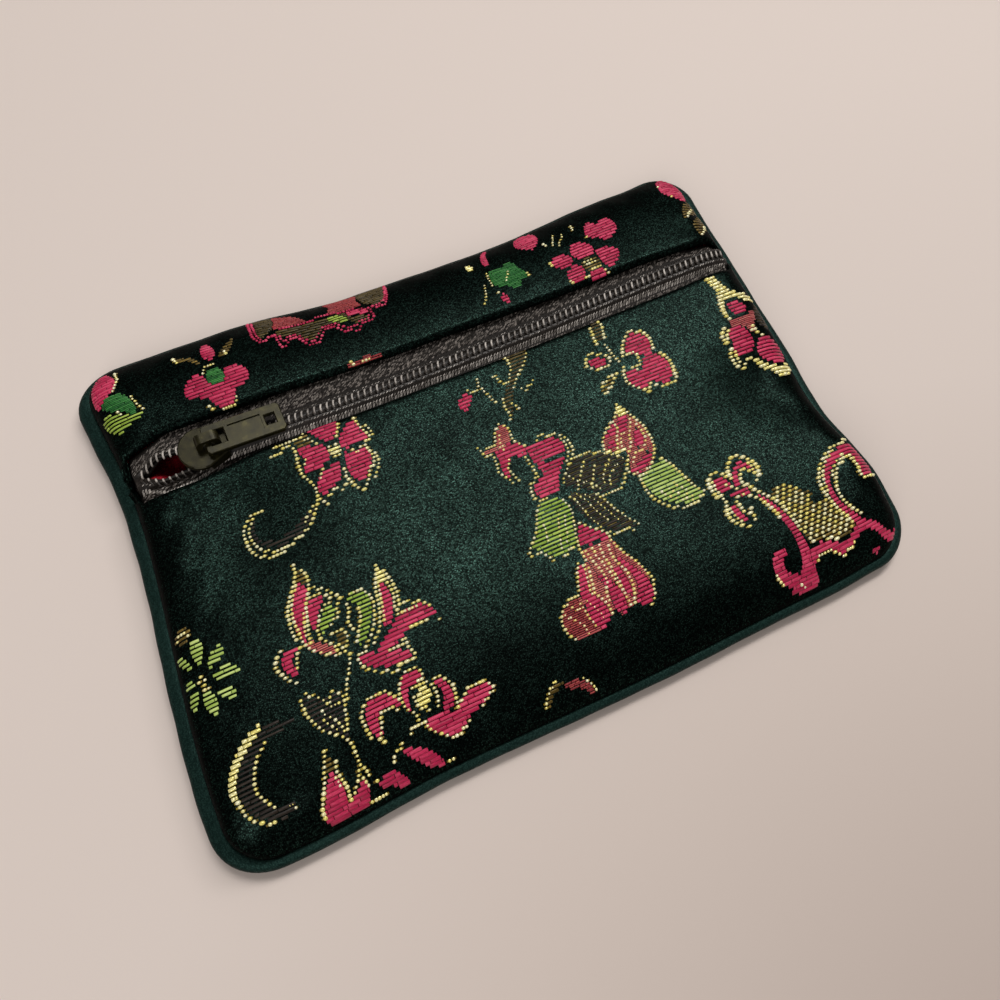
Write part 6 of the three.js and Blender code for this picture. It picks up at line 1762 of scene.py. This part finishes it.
# Rows of stitches on the braid: distance from the chain line, width and least tone of a stitch
BRAID_ROWS = {1: ((1.1, 0.17, 0.0),), -1: ((1.3, 0.17, 0.1), (2.0, 0.32, 0.5), (2.26, 0.32, 0.5))}
TAPE_TONE = 0.1
zip_pieces = []
for side, end in ((1, "upper"), (-1, "lower")):
    points, faces = tape_shape(side)
    tape = add_mesh("tape_" + end, points, faces, tape_cloth, np.full(len(points), TAPE_TONE))
    points, faces, tone = tape_stitches(side)
    stitches = add_mesh("tape_weave_" + end, points, faces.tolist(), tape_cloth, tone)
    rows = [braid_stitches(side, *row) for row in BRAID_ROWS[side]]
    chain = [coil_shape(side), braid_shape(side), *rows]
    tone = np.concatenate([part[2] for part in chain])
    coil = add_mesh("coil_" + end, *joined(chain), coil_thread, tone)
    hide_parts("zip_tape_" + end)
    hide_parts("zip_coil_" + end)
    zip_pieces.append((tape, stitches, coil))

# Slider and pull: worn olive metal with softened edges
METAL_STOPS = ((0.3, colour(31, 29, 12)), (0.6, colour(46, 43, 20)), (0.8, colour(76, 72, 40)))
METAL_CELL = (1.3, 1.3, 1.3)
METAL_SHARE = 0.55
METAL_ROUGH = (0.24, 0.42)
METAL_BUMP = 0.2
METAL_RELIEF = 0.06
BEVEL_WIDTH = 0.2
BEVEL_STEPS = 3
BEVEL_ANGLE = 40


def worn_metal():
    material, tree, shader = new_material("worn_olive_metal")
    grain = noise(tree, METAL_CELL, detail=6.0)
    tree.links.new(ramp(tree, grain, METAL_STOPS), shader.inputs["Base Color"])
    shader.inputs["Metallic"].default_value = METAL_SHARE
    rough_from(tree, shader, grain, *METAL_ROUGH)
    add_bump(tree, shader, grain, METAL_BUMP, METAL_RELIEF)
    return material


olive_metal = worn_metal()
for name in ("zip_slider", "zip_pull"):
    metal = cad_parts[name]
    metal.data.materials.clear()
    metal.data.materials.append(olive_metal)
    bevel = metal.modifiers.new("soft_edges", "BEVEL")
    bevel.width = BEVEL_WIDTH * MM
    bevel.segments = BEVEL_STEPS
    bevel.limit_method = "ANGLE"
    bevel.angle_limit = math.radians(BEVEL_ANGLE)

# Which solid each piece stands for and the body it rides on
for piece, cad_node in (
    (front_panel, "front_panel"),
    (front_strip, "front_strip"),
    (back_panel, "back_panel"),
    (piping, "piping"),
    (lining, "lining"),
):
    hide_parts(cad_node)
    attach(piece, "purse")
for piece in pieces.values():
    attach(piece, "purse")
for tape, stitches, coil in zip_pieces:
    for piece, slot_name in ((tape, "zip_tape"), (stitches, "zip_tape"), (coil, "zip_coil")):
        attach(piece, "purse")

# Pale floor with painted shade: it darkens a little towards the front right
FLOOR_HALF = 1.5
FLOOR_CELL = 300.0
FLOOR_SHADE_PLACE = (0.13, -0.63, 0.0)
FLOOR_SHADE_STOPS = (
    (0.0, colour(180, 166, 158)),
    (0.25, colour(193, 179, 171)),
    (0.45, colour(213, 200, 192)),
    (0.6, colour(223, 211, 204)),
    (0.85, colour(227, 215, 208)),
)
floor_mesh = bpy.data.meshes.new("floor")
floor_corners = [(x * FLOOR_HALF, y * FLOOR_HALF, 0) for x, y in ((-1, -1), (1, -1), (1, 1), (-1, 1))]
floor_mesh.from_pydata(floor_corners, [], [(0, 1, 2, 3)])
floor_material, floor_tree, floor_shader = new_material("pale_floor")
floor_far = node(floor_tree, "ShaderNodeVectorMath", operation="DISTANCE")
floor_far.inputs[1].default_value = FLOOR_SHADE_PLACE
floor_tree.links.new(stretched(floor_tree, FLOOR_CELL, FLOOR_CELL, FLOOR_CELL), floor_far.inputs[0])
# Painted shade: the floor darkens towards a point at the front right
floor_painted_shade = ramp(floor_tree, floor_far.outputs["Value"], FLOOR_SHADE_STOPS)
floor_tree.links.new(floor_painted_shade, floor_shader.inputs["Base Color"])
set_inputs(floor_shader, {"Roughness": 0.7, "Specular IOR Level": 0.2})
floor_mesh.materials.append(floor_material)
floor = bpy.data.objects.new("floor", floor_mesh)
bpy.context.scene.collection.objects.link(floor)


# Soft light: a long key in a broad glow behind, a weak fill from the front left and a faint sky
def area_light(name, place, wide, deep, power, tint):
    light = bpy.data.lights.new(name, "AREA")
    light.shape = "RECTANGLE"
    light.size = wide
    light.size_y = deep
    light.energy = power
    light.color = tint
    lamp = bpy.data.objects.new(name, light)
    bpy.context.scene.collection.objects.link(lamp)
    back = np.array(place) / np.linalg.norm(place)
    side = np.cross([0.0, 1.0, 0.0], back)
    side /= np.linalg.norm(side)
    up = np.cross(back, side)
    turned = Matrix(np.stack([side, up, back], 1).tolist()).to_4x4()
    lamp.matrix_world = Matrix.Translation(place) @ turned


KEY_TINT = (1.0, 0.97, 0.94)
FILL_TINT = (1.0, 0.96, 0.93)
SKY_TINT = (1.0, 0.95, 0.92, 1.0)
SKY_STRENGTH = 0.12
area_light("key", (0.28, 0.28, 0.72), wide=0.72, deep=0.18, power=4.2, tint=KEY_TINT)
area_light("glow", (0.35, 0.42, 0.85), wide=1.0, deep=0.8, power=1.8, tint=KEY_TINT)
area_light("fill", (-0.28, -0.32, 0.34), wide=0.3, deep=0.3, power=0.85, tint=FILL_TINT)
world = bpy.data.worlds.new("even_sky")
world.use_nodes = True
set_inputs(world.node_tree.nodes["Background"], {"Color": SKY_TINT, "Strength": SKY_STRENGTH})
bpy.context.scene.world = world
bpy.context.scene.view_settings.view_transform = "Standard"

# Camera at the viewing angle of the photograph
CAMERA_PLACE = np.array([-33.183, -56.366, 146.047])
CAMERA_AIM = np.array([-0.639, -4.44, 0.0])
CAMERA_ROLL = 0.132
CAMERA_SENSOR = 36.0
CAMERA_LENS = 33.3
CAMERA_NEAR = 0.005
camera_data = bpy.data.cameras.new("camera")
camera_data.sensor_width = CAMERA_SENSOR
camera_data.lens = CAMERA_LENS
camera_data.clip_start = CAMERA_NEAR
camera = bpy.data.objects.new("camera", camera_data)
bpy.context.scene.collection.objects.link(camera)
ahead = (CAMERA_AIM - CAMERA_PLACE) / np.linalg.norm(CAMERA_AIM - CAMERA_PLACE)
level_right = np.cross(ahead, [0.0, 0.0, 1.0])
level_right /= np.linalg.norm(level_right)
level_up = np.cross(level_right, ahead)
right = level_right * math.cos(CAMERA_ROLL) + level_up * math.sin(CAMERA_ROLL)
up = level_up * math.cos(CAMERA_ROLL) - level_right * math.sin(CAMERA_ROLL)
camera_turn = Matrix(np.stack([right, up, -ahead], 1).tolist()).to_4x4()
camera.matrix_world = Matrix.Translation((CAMERA_PLACE * MM).tolist()) @ camera_turn
bpy.context.scene.camera = camera
